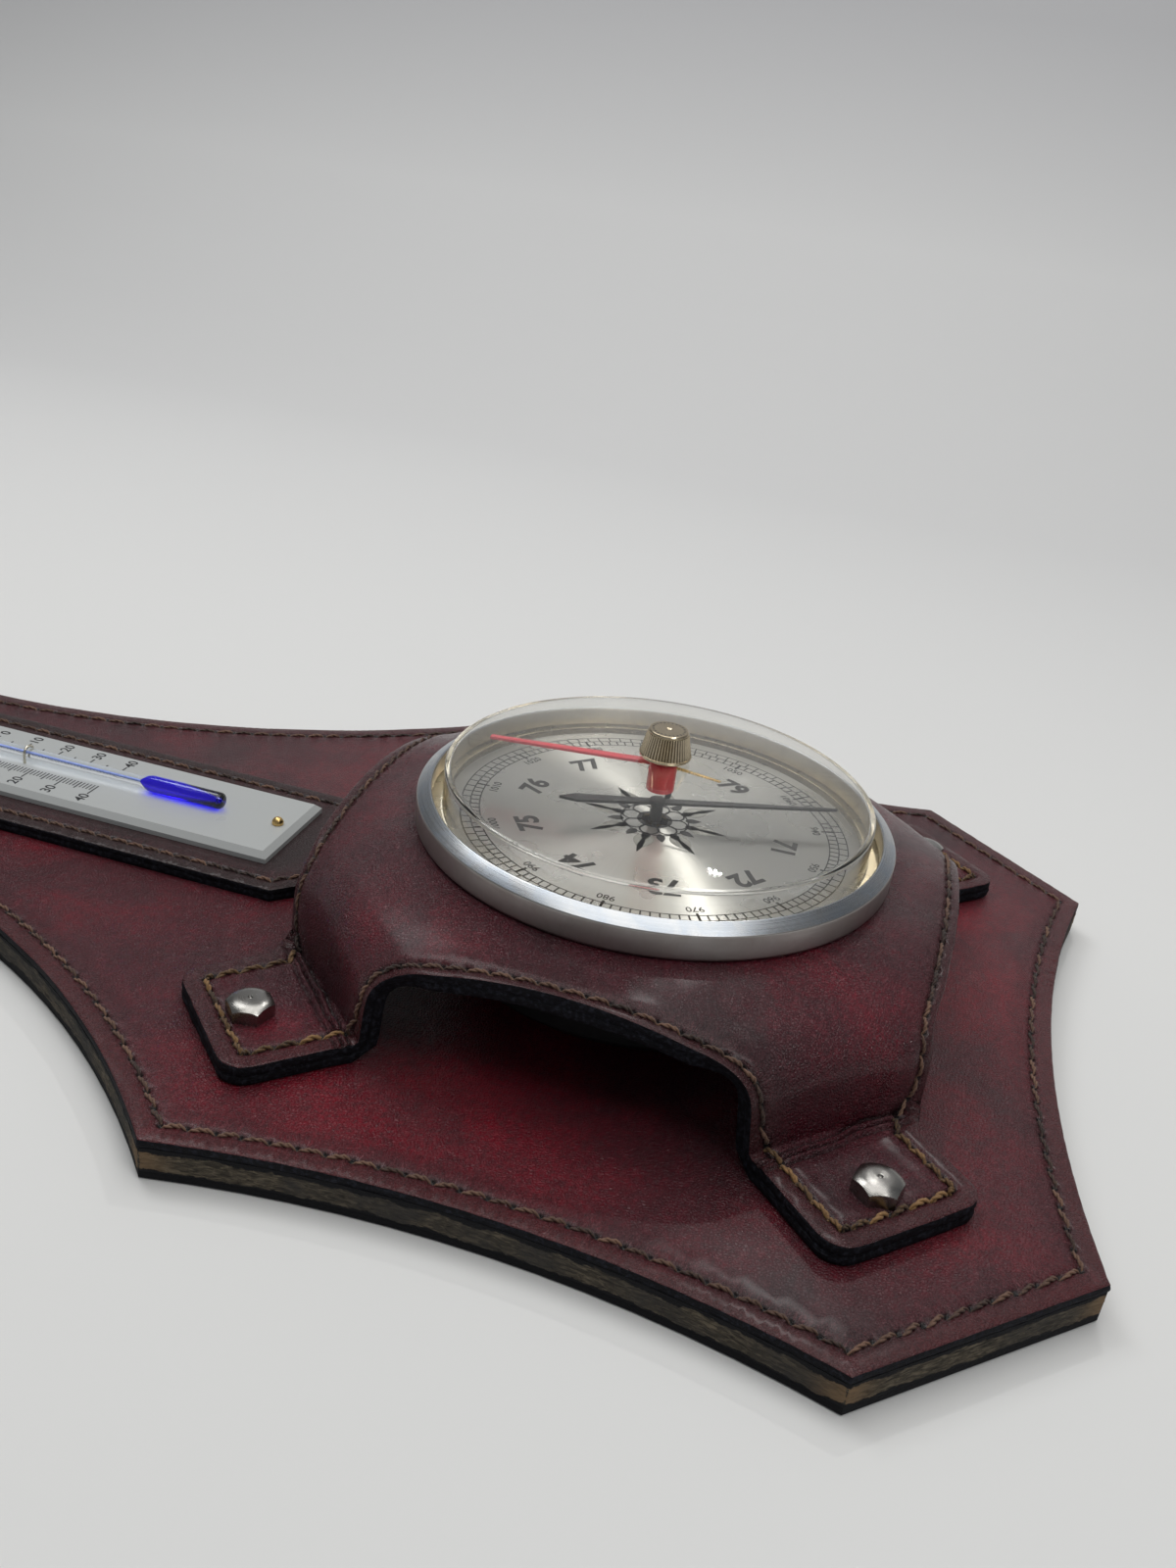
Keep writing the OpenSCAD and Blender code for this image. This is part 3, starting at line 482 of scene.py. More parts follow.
def antiqueLeather(name, dark, middle, bright, rimTone, gloss, wrinkle=1.0):
    look = Look(name, Specular_IOR_Level=0.36, Coat_Weight=0.25, Coat_Roughness=0.24)
    times = look.times
    drift, smudge, specks = look.noise(9, 3, 0.5, 0.6), look.noise(30, 4, 0.55, 1.0), look.noise(420, 5, 0.65)
    clouds = look.plus(look.plus(times(drift, 0.5), times(smudge, 0.34)), times(specks, 0.16))
    color = look.ramp(clouds, (0.38, dark), (0.49, middle), (0.62, bright))
    rim = look.range(look.mark("edgeDist"), 2.5, 6.0, 0.75, 0)
    color = look.blend(rim, color, rimTone)
    grain = look.noise(950, 4, 0.65)
    color = look.blend(look.range(grain, 0.38, 0.68, 0.0, 0.65), color, dark)
    around = look.vector(times(look.mark("seamCos"), 1.6), times(look.mark("seamSin"), 1.6),
                         times(look.noise(90, 2), 6))
    pulls = times(look.range(look.noise(3.2, 3, 0.65, 0.4, around), 0.42, 0.62), look.mark("pull"))
    color = look.blend(times(pulls, 0.5), color, pullToneAndShade["pull"])
    color = look.blend(look.range(look.mark("lineDist"), 0.4, 1.7, 0.55, 0), color, pullToneAndShade["seam"])
    # painted shade: the leather is darkened almost to black round each needle hole
    color = look.blend(look.range(look.mark("holeDist"), 0.55, 1.15, 1, 0), color, pullToneAndShade["hole"])
    # painted shade darkens the lines of the crease
    color = look.blend(look.mark("fold"), color, pullToneAndShade["fold"])
    height = look.bump(look.noise(120, 3, 0.5, 0.5), 0.5, 0.4)
    height = look.bump(pulls, 0.5, 0.9, height)
    folds = look.noise(330, 5, 0.66, 1.2, look.stretched((1, 2.0, 1), (0, 0, 0.6)))
    height = look.bump(folds, 0.42 * wrinkle, 0.95, height)
    pebbles = look.range(look.cells(1250, "DISTANCE_TO_EDGE"), 0.0, 0.25)
    height = look.bump(pebbles, 0.17 * wrinkle, 0.95, height)
    sheen = look.range(look.noise(75, 4, 0.6), 0.3, 0.7, gloss[0], gloss[1])
    return look.done(Base_Color=color, Roughness=sheen, Normal=height)


def cutEdge(name, tone, fleckAndGlint, roughness):  # dyed edge, with pressed fibres lying along it; its pale bluish flecks are partly fibres and partly painted highlight
    look = Look(name, Specular_IOR_Level=0.15)
    layers = look.noise(1, 4, 0.6, 0.6, look.stretched((260, 260, 2600)))
    ragged = look.noise(900, 4, 0.7)
    color = look.blend(look.range(ragged, 0.48, 0.72), tone, fleckAndGlint)
    height = look.bump(layers, 0.5, 0.9, look.bump(ragged, 0.25, 0.8))
    rough = look.range(ragged, 0.3, 0.7, roughness - 0.15, roughness + 0.2)
    return look.done(Base_Color=color, Roughness=rough, Normal=height)


def rawFibre(name):  # the undyed core: grey-brown layers, black where dye ran over, tan at worn corners
    look = Look(name, Specular_IOR_Level=0.25)
    layers = look.noise(1, 5, 0.65, 0.8, look.stretched((330, 330, 1500)))
    black, grey, tan = (0.026, 0.022, 0.018), (0.080, 0.066, 0.047), (0.19, 0.155, 0.108)
    color = look.ramp(layers, (0.34, black), (0.5, grey), (0.66, tan))
    color = look.blend(look.range(look.noise(60, 4, 0.6), 0.42, 0.62, 0, 0.75), color, (0.045, 0.042, 0.040))
    worn = look.times(look.mark("worn"), look.range(layers, 0.25, 0.6, 0.5, 1))
    color = look.blend(worn, color, (0.24, 0.155, 0.085))
    height = look.times(look.radius()[1][2], 1 / mm)
    level = look.plus(height, look.calc("MULTIPLY_ADD", look.noise(120, 5, 0.7), 4.2, -2.1))
    dyed = look.calc("MAXIMUM", look.range(level, coreHigh - 1.25, coreHigh - 0.95),
                     look.range(level, coreLow + 0.45, coreLow + 0.75, 1, 0))
    color = look.blend(dyed, color, (0.007, 0.007, 0.009))
    fibres = look.noise(1, 4, 0.7, 1.5, look.stretched((700, 700, 2600)))
    height = look.bump(layers, 0.7, 1.0, look.bump(fibres, 0.25, 0.9))
    return look.done(Base_Color=color, Roughness=0.82, Normal=height)


def napped(name, tone):
    look = Look(name, Specular_IOR_Level=0.1, Sheen_Weight=0.04, Sheen_Roughness=0.6)
    nap = look.noise(700, 5, 0.7)
    color = look.blend(nap, tone, tuple(2.4 * c for c in tone))
    return look.done(Base_Color=color, Roughness=0.9, Normal=look.bump(nap, 0.3, 0.8))


def waxedThread(name, dark, light):
    look = Look(name, Specular_IOR_Level=0.4, Sheen_Weight=0.15, Sheen_Roughness=0.5)
    strands = look.noise(1900, 4, 0.65, 0.5)
    shade = look.plus(look.times(strands, 0.75), look.times(look.mark("shade"), 0.45))
    color = look.ramp(shade, (0.36, dark), (0.82, light))
    return look.done(Base_Color=color, Roughness=0.62, Normal=look.bump(strands, 0.18, 0.8))


def turnedMetal(name, tone, roughness, rings, patches, stain, own=None):  # tool marks run round the axis
    look = Look(name, Metallic=1.0)
    radius, parts = look.radius()
    radius = look.mark(own) if own else radius
    spin = look.vector(look.times(radius, 5200), look.times(parts[2], 5200),
                       look.times(look.noise(30, 2), 2))
    lines = look.noise(1, 3, 0.6, 0.2, spin)
    blotch = look.noise(140, 4, 0.6, 0.6)
    color = look.blend(look.range(blotch, 0.35, 0.75, 0, patches), tone, stain)
    color = look.blend(look.times(lines, 0.25), color, tuple(c * 0.7 for c in tone))
    mixed = look.plus(lines, look.times(blotch, 0.5))
    rough = look.range(mixed, 0.4, 1.0, roughness * 0.75, roughness * 1.4)
    return look.done(Base_Color=color, Roughness=rough, Normal=look.bump(lines, 0.02, rings))


def plainMetal(name, tone, roughness, grain=0.3, scale=600):  # for the works and small fittings
    look = Look(name, Metallic=1.0)
    brushed = look.noise(1, 4, 0.6, 0.2, look.stretched((scale, scale * 5, scale)))
    stain = look.noise(120, 4, 0.6)
    color = look.blend(look.range(stain, 0.4, 0.75, 0, 0.4), tone, tuple(c * 0.6 for c in tone))
    rough = look.range(brushed, 0.3, 0.7, roughness * 0.8, roughness * 1.3)
    return look.done(Base_Color=color, Roughness=rough, Normal=look.bump(brushed, 0.02, grain))


def sunrayMetal(name, tone, roughness):  # finely turned, so that light fans out from the middle
    look = Look(name, Metallic=1.0, Anisotropic=0.92, Anisotropic_Rotation=0.25)
    distance, parts = look.radius()
    angle = look.calc("ARCTAN2", parts[1], parts[0])
    rays = look.noise(150, 3, 0.7, 0.0, look.vector(look.calc("COSINE", angle), look.calc("SINE", angle)))
    color = look.blend(look.range(rays, 0.3, 0.7, 0, 0.3), tone, tuple(c * 0.72 for c in tone))
    color = look.blend(look.range(look.noise(60, 4, 0.6), 0.5, 0.8, 0, 0.2), color, (0.62, 0.58, 0.48))
    tangent = look.made("ShaderNodeTangent", direction_type="RADIAL", axis="Z")
    rough = look.range(look.noise(40, 3), 0.3, 0.7, roughness * 0.9, roughness * 1.1)
    turns = look.noise(1, 2, 0.5, 0.0, look.vector(look.times(distance, 1500)))
    return look.done(Base_Color=color, Roughness=rough, Tangent=tangent, Normal=look.bump(turns, 0.002, 0.2))


def paint(name, tone, roughness, mottle=0.25, scale=300, relief=0.02, **sockets):
    look = Look(name, **sockets)
    film = look.noise(scale, 4, 0.6)
    color = look.blend(look.range(film, 0.35, 0.7, 0, mottle), tone, tuple(c * 0.6 for c in tone))
    rough = look.range(film, 0.3, 0.7, roughness * 0.8, min(1, roughness * 1.25))
    bump = look.bump(look.noise(scale * 5, 3), relief, 0.5)
    return look.done(Base_Color=color, Roughness=rough, Normal=bump)


def clearBody(name, tint, roughness, ior, haze=0.0, waves=0.12):  # lamps shine through it
    look = Look(name, Transmission_Weight=1.0, IOR=ior, Base_Color=tint)
    smear = look.noise(90, 4, 0.6)
    rough = look.range(smear, 0.35, 0.8, roughness, roughness + haze)
    look.feed(look.shader, {"Roughness": rough, "Normal": look.bump(look.noise(35, 2), 0.12, waves)})
    through = look.made("ShaderNodeBsdfTransparent", {"Color": tint})
    shadow = look.add("ShaderNodeLightPath").outputs["Is Shadow Ray"]
    both = look.made("ShaderNodeMixShader", {0: shadow, 1: look.shader.outputs[0], 2: through})
    look.tree.links.new(both, look.tree.nodes["Material Output"].inputs["Surface"])
    return look.material


burgundy = antiqueLeather("burgundyLeather", (0.028, 0.006, 0.009), (0.085, 0.006, 0.013),
                          (0.19, 0.003, 0.014), (0.080, 0.009, 0.011), (0.28, 0.42))
coverHide = antiqueLeather("coverLeather", (0.024, 0.005, 0.008), (0.078, 0.006, 0.014),
                           (0.175, 0.004, 0.017), (0.062, 0.010, 0.012), (0.21, 0.37), 1.3)
padHide = antiqueLeather("padLeather", (0.016, 0.009, 0.009), (0.036, 0.015, 0.016), (0.060, 0.018, 0.021),
                         (0.030, 0.014, 0.013), (0.4, 0.58), 1.5)
# the bluish flecks on the black edges are partly painted highlight
blackEdge = cutEdge("blackEdge", (0.003, 0.003, 0.005), (0.032, 0.034, 0.046), 0.7)
fibre = rawFibre("rawFibre")
blackNap = napped("blackNap", (0.004, 0.004, 0.004))
brownNap = napped("brownNap", (0.035, 0.024, 0.018))
goldThread = waxedThread("goldenThread", (0.022, 0.009, 0.003), (0.27, 0.145, 0.052))
tanThread = waxedThread("tanThread", (0.016, 0.007, 0.005), (0.18, 0.094, 0.058))
satinSilver = turnedMetal("satinSilver", (0.46, 0.44, 0.425), 0.34, 0.7, 0.5, (0.28, 0.23, 0.20))
# the bevel's bluish patches are painted reflection
polished = turnedMetal("polishedBevel", (0.50, 0.51, 0.52), 0.24, 0.3, 0.8, (0.36, 0.42, 0.50))
innerRim = turnedMetal("innerRim", (0.56, 0.50, 0.40), 0.35, 0.4, 0.5, (0.34, 0.29, 0.22))
boltSteel = turnedMetal("boltSteel", (0.40, 0.39, 0.37), 0.2, 1.6, 0.6, (0.13, 0.12, 0.105), "swirl")
champagne = turnedMetal("champagneNickel", (0.60, 0.51, 0.37), 0.2, 0.3, 0.4, (0.30, 0.24, 0.15))
grooveShade = plainMetal("grooveShade", (0.10, 0.08, 0.055), 0.5)
dialSilver = sunrayMetal("dialSilver", (0.66, 0.66, 0.65), 0.28)
acrylic = clearBody("acrylic", (0.985, 0.98, 0.95), 0.0, 1.46, 0.02)
agedRim = clearBody("agedAcrylic", (0.90, 0.83, 0.68), 0.25, 1.46, 0.1)
tubeGlass = clearBody("tubeGlass", (0.93, 0.96, 1.0), 0.0, 1.5, waves=0.01)
spirit = clearBody("blueSpirit", (0.03, 0.006, 0.92), 0.0, 1.36, waves=0.01)
spiritLine = paint("paleSpirit", (0.28, 0.36, 0.74), 0.25, 0.1, 200, 0.0)
dialInk = paint("dialInk", (0.012, 0.012, 0.014), 0.4, 0.2)
leafGrey = paint("leafGrey", (0.21, 0.21, 0.20), 0.4, 0.4)
slateBlack = paint("slateBlack", (0.012, 0.013, 0.016), 0.38, 0.3, 500, 0.03, Specular_IOR_Level=0.6)
signalRed = paint("signalRed", (0.48, 0.016, 0.035), 0.32, 0.15, 400, 0.02, Coat_Weight=0.3)
whitePlate = paint("whitePlate", (0.44, 0.455, 0.45), 0.34, 0.05, 60, 0.006)
caseBlack = paint("caseBlack", (0.012, 0.012, 0.013), 0.45, 0.3, 300, 0.05)
backCloth = napped("backCloth", (0.004, 0.004, 0.005))
brass = plainMetal("pinBrass", (0.74, 0.50, 0.20), 0.25)
worksBrass = plainMetal("worksBrass", (0.68, 0.52, 0.27), 0.32, 0.5)
nickelSilver = plainMetal("nickelSilver", (0.66, 0.60, 0.44), 0.3, 0.4)
steel = plainMetal("worksSteel", (0.58, 0.58, 0.60), 0.28, 0.4)
blueSpring = plainMetal("springSteel", (0.16, 0.19, 0.30), 0.25, 0.3)
zinc = plainMetal("zincPlate", (0.60, 0.61, 0.63), 0.38, 0.5, 300)
wire = plainMetal("clipWire", (0.74, 0.70, 0.58), 0.22)

# The CAD nodes that are shown as they are, each with its material
keptNodes = [
    (backCloth, "board_backing"), (fibre, "board_core"), (whitePlate, "scale_plate"), (wire, "tube_clips"),
    (brass, "plate_pins"), (dialSilver, "dial"), (caseBlack, "case"), (nickelSilver, "capsule"),
    (zinc, "hanger_plate hanger_screws tee_nuts case_screws"), (blueSpring, "main_spring hairspring"),
    (worksBrass, "movement_plate pillars arbor_bridge arbor_cock rocker_bearings adjusting_screw"),
    (steel, "capsule_post spring_screws bridge_screws lever lever_pin rocker chain arbor")]
for look, names in keptNodes:
    for name in names.split():
        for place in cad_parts[name].material_slots:
            place.material = look
print("materials ready:", len(bpy.data.materials))


# Growths: twisted stitches, copies round an axis, and printed strokes

def twistedStitches():
    t = Growth("twistedStitches", length=0.0052, ply=0.0003, lift=0.0006, dive=0.0007, twist=1.2, slant=0.2,
               wobble=0.12, seed=3, thread=goldThread)
    size = t.given
    half = t.times(size["length"], 0.5)
    plies = t.add("GeometryNodeJoinGeometry")
    for phase in (0, math.pi):
        line = t.made("GeometryNodeCurvePrimitiveLine", {"Start": t.vector(t.times(half, -1)),
                                                         "End": t.vector(half)})
        line = t.made("GeometryNodeResampleCurve", {"Curve": line, "Count": 8})
        along = t.add("GeometryNodeSplineParameter").outputs["Factor"]
        turn = t.calc("MULTIPLY_ADD", along, t.times(size["twist"], 2 * math.pi), phase)
        middle = t.calc("POWER", t.calc("ABSOLUTE", t.calc("MULTIPLY_ADD", along, 2.0, -1.0)), 3.0)
        drop = t.times(middle, t.plus(size["lift"], size["dive"]))
        hump = t.calc("SUBTRACT", size["lift"], drop)
        side = t.times(t.calc("COSINE", turn), size["ply"])
        up = t.calc("MULTIPLY_ADD", t.calc("SINE", turn), size["ply"], hump)
        line = t.made("GeometryNodeSetPosition", {"Geometry": line, "Offset": t.vector(0.0, side, up)})
        circle = {"Resolution": 5, "Radius": t.times(size["ply"], 1.15)}
        section = t.made("GeometryNodeCurvePrimitiveCircle", circle)
        ply = t.made("GeometryNodeCurveToMesh", {"Curve": line, "Profile Curve": section, "Fill Caps": True})
        t.tree.links.new(ply, plies.inputs[0])
    facing = t.made("FunctionNodeAlignRotationToVector", {"Vector": t.named("along")}, axis="X")
    facing = t.made("FunctionNodeAlignRotationToVector", {"Rotation": facing, "Vector": t.named("up")},
                    axis="Z", pivot_axis="X")
    skew = t.plus(size["slant"], t.times(size["wobble"], t.random(-1.0, 1.0, size["seed"])))
    swing = t.made("FunctionNodeEulerToRotation", {0: t.vector(0.0, 0.0, skew)})
    facing = t.made("FunctionNodeRotateRotation", {0: facing, 1: swing}, rotation_space="LOCAL")
    girth = t.random(0.9, 1.12, t.plus(size["seed"], 1.0))
    copies = t.made("GeometryNodeInstanceOnPoints", {
        "Points": size["Geometry"], "Instance": plies.outputs[0], "Rotation": facing,
        "Scale": t.vector(t.named("stretch", "FLOAT"), girth, girth)})
    copies = t.made("GeometryNodeStoreNamedAttribute", {
        "Geometry": copies, "Name": "shade", "Value": t.random(0.0, 1.0, t.plus(size["seed"], 2.0))},
        domain="INSTANCE", data_type="FLOAT")
    t.ends(copies, size["thread"])
    return t


def copiesAround():  # one part repeated round the Z axis
    t = Growth("copiesAround", part=None, count=12, look=champagne)
    cloud = t.made("GeometryNodePoints", {"Count": t.given["count"]})
    source = t.add("GeometryNodeObjectInfo", {"Object": t.given["part"], "As Instance": True})
    share = t.calc("DIVIDE", t.made("GeometryNodeInputIndex"), t.given["count"])
    turn = t.vector(0.0, 0.0, t.times(share, 2 * math.pi))
    spin = t.made("FunctionNodeEulerToRotation", {0: turn})
    values = {"Points": cloud, "Instance": source.outputs["Geometry"], "Rotation": spin}
    copies = t.made("GeometryNodeInstanceOnPoints", values)
    t.ends(copies, t.given["look"])
    return t


def strokes():  # short raised bars, each with its own turn, length and width
    t = Growth("strokes", thickness=0.00003, ink=dialInk)
    bar = t.made("GeometryNodeMeshCube", {"Size": t.vector(1.0, 1.0, t.given["thickness"])})
    spin = t.made("FunctionNodeEulerToRotation", {0: t.vector(0.0, 0.0, t.named("turn", "FLOAT"))})
    copies = t.made("GeometryNodeInstanceOnPoints", {
        "Points": t.given["Geometry"], "Instance": bar, "Rotation": spin,
        "Scale": t.vector(t.named("long", "FLOAT"), t.named("wide", "FLOAT"), 1.0)})
    t.ends(copies, t.given["ink"])
    return t


stitching, around, printing = twistedStitches(), copiesAround(), strokes()


def aroundAxis(shape, count, look):
    part = bpy.data.objects.new("part", rawMesh(*shape))
    bpy.context.scene.collection.objects.link(part)
    mesh = around.grow(rawMesh([], []), part=part, count=count, look=look)
    bpy.data.objects.remove(part)
    return mesh


def stitchRow(name, holes, surface, thread, sizes, down=0.15, chosen=None, **rest):
    origin, normal, sag = surface(holes)
    spots = origin + normal * (sag - down)[:, None]
    ends, along = np.roll(spots, -1, axis=0), np.roll(spots, -1, axis=0) - spots
    span = np.linalg.norm(along, axis=1)
    up = normal + np.roll(normal, -1, axis=0)
    keep = np.ones(len(holes), bool) if chosen is None else chosen((holes + np.roll(holes, -1, axis=0)) / 2)
    length = float(span[keep].mean())
    cloud = pointCloud(((spots + ends) / 2)[keep], along=(along / span[:, None])[keep], up=up[keep],
                       stretch=span[keep] / length)
    mesh = stitching.grow(cloud, length=length * sizes["fill"] * mm, thread=thread, twist=sizes["twist"],
                          slant=sizes["slant"], ply=sizes["ply"] * mm, lift=sizes["lift"] * mm,
                          dive=sizes["dive"] * mm, seed=sizes["seed"])
    return finishPiece(mesh, name, crease=80, **rest)


# A sheet of leather, flat or formed, with soft edges, a pressed seam and a ragged cut edge
sheet = {"edgeRings": (0.5, 1.4), "seamGap": 0.9, "seamRings": (-1.6, -0.8, 0.8, 1.6), "holeRing": 0.5,
         "fineEdge": 0.25, "edgeRoom": 0.1, "edgeShare": 0.7, "gridRoom": 0.6}


def sheetPoints(loops, borders, gap, softness, holes, rows):  # rings along the edge and the seam, then a grid
    outer, loose = borders[0], []
    if softness:
        loose = [evenly(insetLoop(outer, softness * k), gap * sheet["edgeShare"], True)
                 for k in sheet["edgeRings"]]
    if holes is not None:
        line = evenly(holes, sheet["seamGap"], True)
        loose += [line + loopNormals(line) * shift for shift in sheet["seamRings"]]
        loose += [holes + arc((0, 0), sheet["holeRing"], turn, turn, 1) for turn in range(0, 360, 60)]
        loose.append(holes)
    if rows is not None:
        loose.append(rows)
    low, high = outer.min(axis=0), outer.max(axis=0)
    xs, ys = np.meshgrid(np.arange(low[0], high[0], gap), np.arange(low[1], high[1], gap * 0.866))
    xs[1::2] += gap / 2
    grid = np.column_stack([xs.ravel(), ys.ravel()])
    grid = grid[inside(grid, loops)]
    away, _ = nearest(grid, np.vstack(borders + loose))
    loose = np.vstack(loose + [grid[away > gap * sheet["gridRoom"]]])
    away, _ = nearest(loose, evenly(outer, sheet["fineEdge"], True))
    return loose[inside(loose, loops) & (away > sheet["edgeRoom"])]


def cutSheet(loops, borders, loose):  # points, triangles, and the number that each border point got
    edges, base = [], 0
    for loop in borders:
        edges += [(base + i, base + (i + 1) % len(loop)) for i in range(len(loop))]
        base += len(loop)
    cut = delaunay_2d_cdt([Vector(p) for p in np.vstack(borders + [loose])], edges, [], 0, 1e-4)
    home = {o: i for i, origins in enumerate(cut[3]) for o in origins}
    flat = np.array([tuple(v) for v in cut[0]])
    triangles = np.array(cut[2])
    triangles = triangles[inside(flat[triangles].mean(axis=1), loops)]
    a, b, c = (flat[triangles[:, k]] for k in range(3))
    area = (b - a)[:, 0] * (c - a)[:, 1] - (b - a)[:, 1] * (c - a)[:, 0]
    triangles[area < 0] = triangles[area < 0][:, ::-1]
    return flat, triangles, home


def sheetMarks(flat, edge, holes):  # how near each point is to the edge, the seam and its holes
    edgeDist, _ = nearest(flat, edge)
    none, far, parts = edgeDist * 0, edgeDist * 0 + 99, 8
    marks = {"edgeDist": edgeDist, "pull": none, "seamCos": none, "seamSin": none, "lineDist": far,
             "holeDist": far}
    if holes is not None:
        stitches = zip(holes, np.roll(holes, -1, axis=0))
        fine = np.vstack([np.linspace(p, q, parts, endpoint=False) for p, q in stitches])
        marks["lineDist"], at = nearest(flat, fine)
        marks["holeDist"], _ = nearest(flat, holes)
        seamDepth = nearest(holes, edge)[0].mean()
        within = np.where(edgeDist > seamDepth - 0.2, 1, 0.35)
        marks["pull"] = bell(np.maximum(marks["lineDist"] - 0.8, 0), 3.4) * within
        around = 2 * math.pi * (at % parts) / parts
        marks["seamCos"], marks["seamSin"] = np.cos(around), np.sin(around)
    return marks


def sheetSkin(flat, marks, softness, relief):  # how far the face stands over the drawn surface
    skin = np.zeros(len(flat))
    if softness:
        near = np.clip(softness - marks["edgeDist"], 0, softness)
        skin = np.sqrt(softness ** 2 - near ** 2) - softness
    if relief:
        skin = skin + relief(flat, marks["edgeDist"], marks["lineDist"], marks["holeDist"])
    return skin


def sheetWall(body, normal, outward, wall, ragged):  # rings of points down a cut edge
    rings = []
    for depth, push in wall:
        here = body - normal * depth
        rough = ragged * (softNoise(here, 1.1, 5) + 0.7 * softNoise(here, 3.7, 9))
        rings.append(here + outward * (push + rough)[:, None] if ragged else here)
    return rings


def leatherSheet(name, loops, surface, looks, gap, thickness, relief=None, holes=None, rows=None, wall=(),
                 softness=0.6, ragged=0.12, marked=None, **rest):
    borders = [subdivided(loop, gap * sheet["edgeShare"]) for loop in loops]
    loose = sheetPoints(loops, borders, gap, softness, holes, rows)
    flat, triangles, home = cutSheet(loops, borders, loose)
    marks = sheetMarks(flat, evenly(borders[0], sheet["fineEdge"], True), holes)
    if marked:
        marks.update(marked(flat))
    origin, normal, sag = surface(flat)
    body = origin + normal * sag[:, None]
    verts = [body + normal * sheetSkin(flat, marks, softness, relief)[:, None], body - normal * thickness]
    faces = triangles.tolist() + (triangles[:, ::-1] + len(flat)).tolist()
    kinds = [0] * len(triangles) + [2] * len(triangles)
    total, start, step = 2 * len(flat), 0, 0.05
    for number, loop in enumerate(borders):
        ids = np.array([home[start + i] for i in range(len(loop))])
        start += len(loop)
        outward = (surface(flat[ids] + loopNormals(loop) * step)[0] - origin[ids]) / step
        made = sheetWall(body[ids], normal[ids], outward, wall, 0 if number else ragged)
        verts += made
        rings = [ids] + [np.arange(len(ids)) + total + k * len(ids) for k in range(len(made))]
        total += len(made) * len(ids)
        rings.append(ids + len(flat))
        for upper, lower in zip(rings, rings[1:]):
            for i in range(len(ids)):
                j = (i + 1) % len(ids)
                faces.append([upper[i], lower[i], lower[j], upper[j]])
                kinds.append(1)
    spread = {key: np.concatenate([value, np.zeros(total - len(flat))]) for key, value in marks.items()}
    return addPiece(name, (np.vstack(verts), faces), looks, kinds=kinds, crease=60, marks=spread, **rest)


def flatAt(height):
    def surface(points):
        origin = np.column_stack([points, np.full(len(points), height)])
        return origin, np.tile([0.0, 0.0, 1.0], (len(points), 1)), np.zeros(len(points))
    return surface


def seamGroove(depth, hole):
    def relief(points, edgeDist, lineDist, holeDist):
        pillow = 0.12 * bell(lineDist - 2.4, 1.4)
        groove = depth * bell(lineDist, 0.85)
        return pillow - groove - hole * bell(holeDist, 0.55) + 0.05 * softNoise(points, 5, 2)
    return relief


# The board; a thread's lengths are in mm, its twist in turns a stitch and its slant in radians
board = {"footDrop": 121.6, "footX": 83.3, "hipX": 127.2, "hipY": -73.5, "shoulderX": 124, "shoulderY": 75,
         "capX": 58.6, "capY": 322, "crownX": 38, "crownY": 343, "sideBow": 9.4, "neckBow": 36.8,
         "footBow": 10, "crownBow": 4, "leather": 2.0, "seamInset": 5.2, "stitch": 6.0, "gap": 3.4}
boardThread = {"fill": 0.94, "twist": 1.6, "slant": 0.22, "ply": 0.27, "lift": 0.34, "dive": 0.9, "seed": 11}


def boardLoop(gap):
    foot, hip = (board["footX"], -board["footDrop"]), (board["hipX"], board["hipY"])
    shoulder, cap = (board["shoulderX"], board["shoulderY"]), (board["capX"], board["capY"])
    crown = (board["crownX"], board["crownY"])
    side = np.vstack([bow(foot, hip, 0, gap), bow(hip, shoulder, board["sideBow"], gap),
                      bow(shoulder, cap, board["neckBow"], gap), bow(cap, crown, 0, gap)])
    bottom = bow((-foot[0], foot[1]), foot, board["footBow"], gap)
    top = bow(crown, (-crown[0], crown[1]), board["crownBow"], gap)
    return withoutDoubles(np.vstack([bottom, side, top, mirrored(side, 0)]))


def edgeBand(name, loop, low, high, push, look, ragged, corners, **rest):  # a rough strip round an edge
    gap, rows, inward, wornReach = 1.4, 0.5, -1.0, 5
    loop = evenly(loop, gap, True)
    normals = loopNormals(loop)
    section = [(z, push) for z in np.arange(low, high, rows)] + [(high, push), (high, inward), (low, inward)]
    verts, worn = [], bell(nearest(loop, np.array(corners))[0], wornReach)
    for z, out in section:
        ring = np.column_stack([loop, np.full(len(loop), z)])
        rough = softNoise(ring * [1, 1, 3], 1.6, 4) + 0.8 * softNoise(ring * [0.3, 0.3, 3], 1.0, 7)
        ring[:, :2] += normals * (out + (ragged if out > 0 else 0) * rough)[:, None]
        verts.append(ring)
    n, faces = len(loop), []
    for k in range(len(section)):
        lower, upper = k * n, (k + 1) % len(section) * n
        faces += [[lower + i, lower + (i + 1) % n, upper + (i + 1) % n, upper + i] for i in range(n)]
    marks = {"worn": np.tile(worn, len(section))}
    return addPiece(name, (np.vstack(verts), faces), [look], marks=marks, **rest)


def buildBoard():
    loop = boardLoop(board["gap"] * 0.7)
    holes = seam(loop, board["seamInset"], board["stitch"])
    leatherSheet("boardLeather", [loop], flatAt(boardTop), [burgundy, blackEdge, brownNap], board["gap"],
                 board["leather"], seamGroove(0.30, 0.8), holes, softness=0.32, ragged=0.14,
                 wall=[(0.45, 0.06), (0.9, 0.14), (1.4, 0.16), (1.85, 0.08)], stands=["board_leather"],
                 slot="burgundy")
    stitchRow("boardStitches", holes, flatAt(boardTop), tanThread, boardThread)
    corners = [(side * board[part + "X"], -board["footDrop"] if part == "foot" else board[part + "Y"])
               for side in (-1, 1) for part in ("foot", "hip", "shoulder", "cap", "crown")]
    edgeBand("coreEdge", loop, coreLow + 0.1, coreHigh - 0.05, 0.16, fibre, 0.10, corners, slot="core")


buildBoard()
print("board ready")


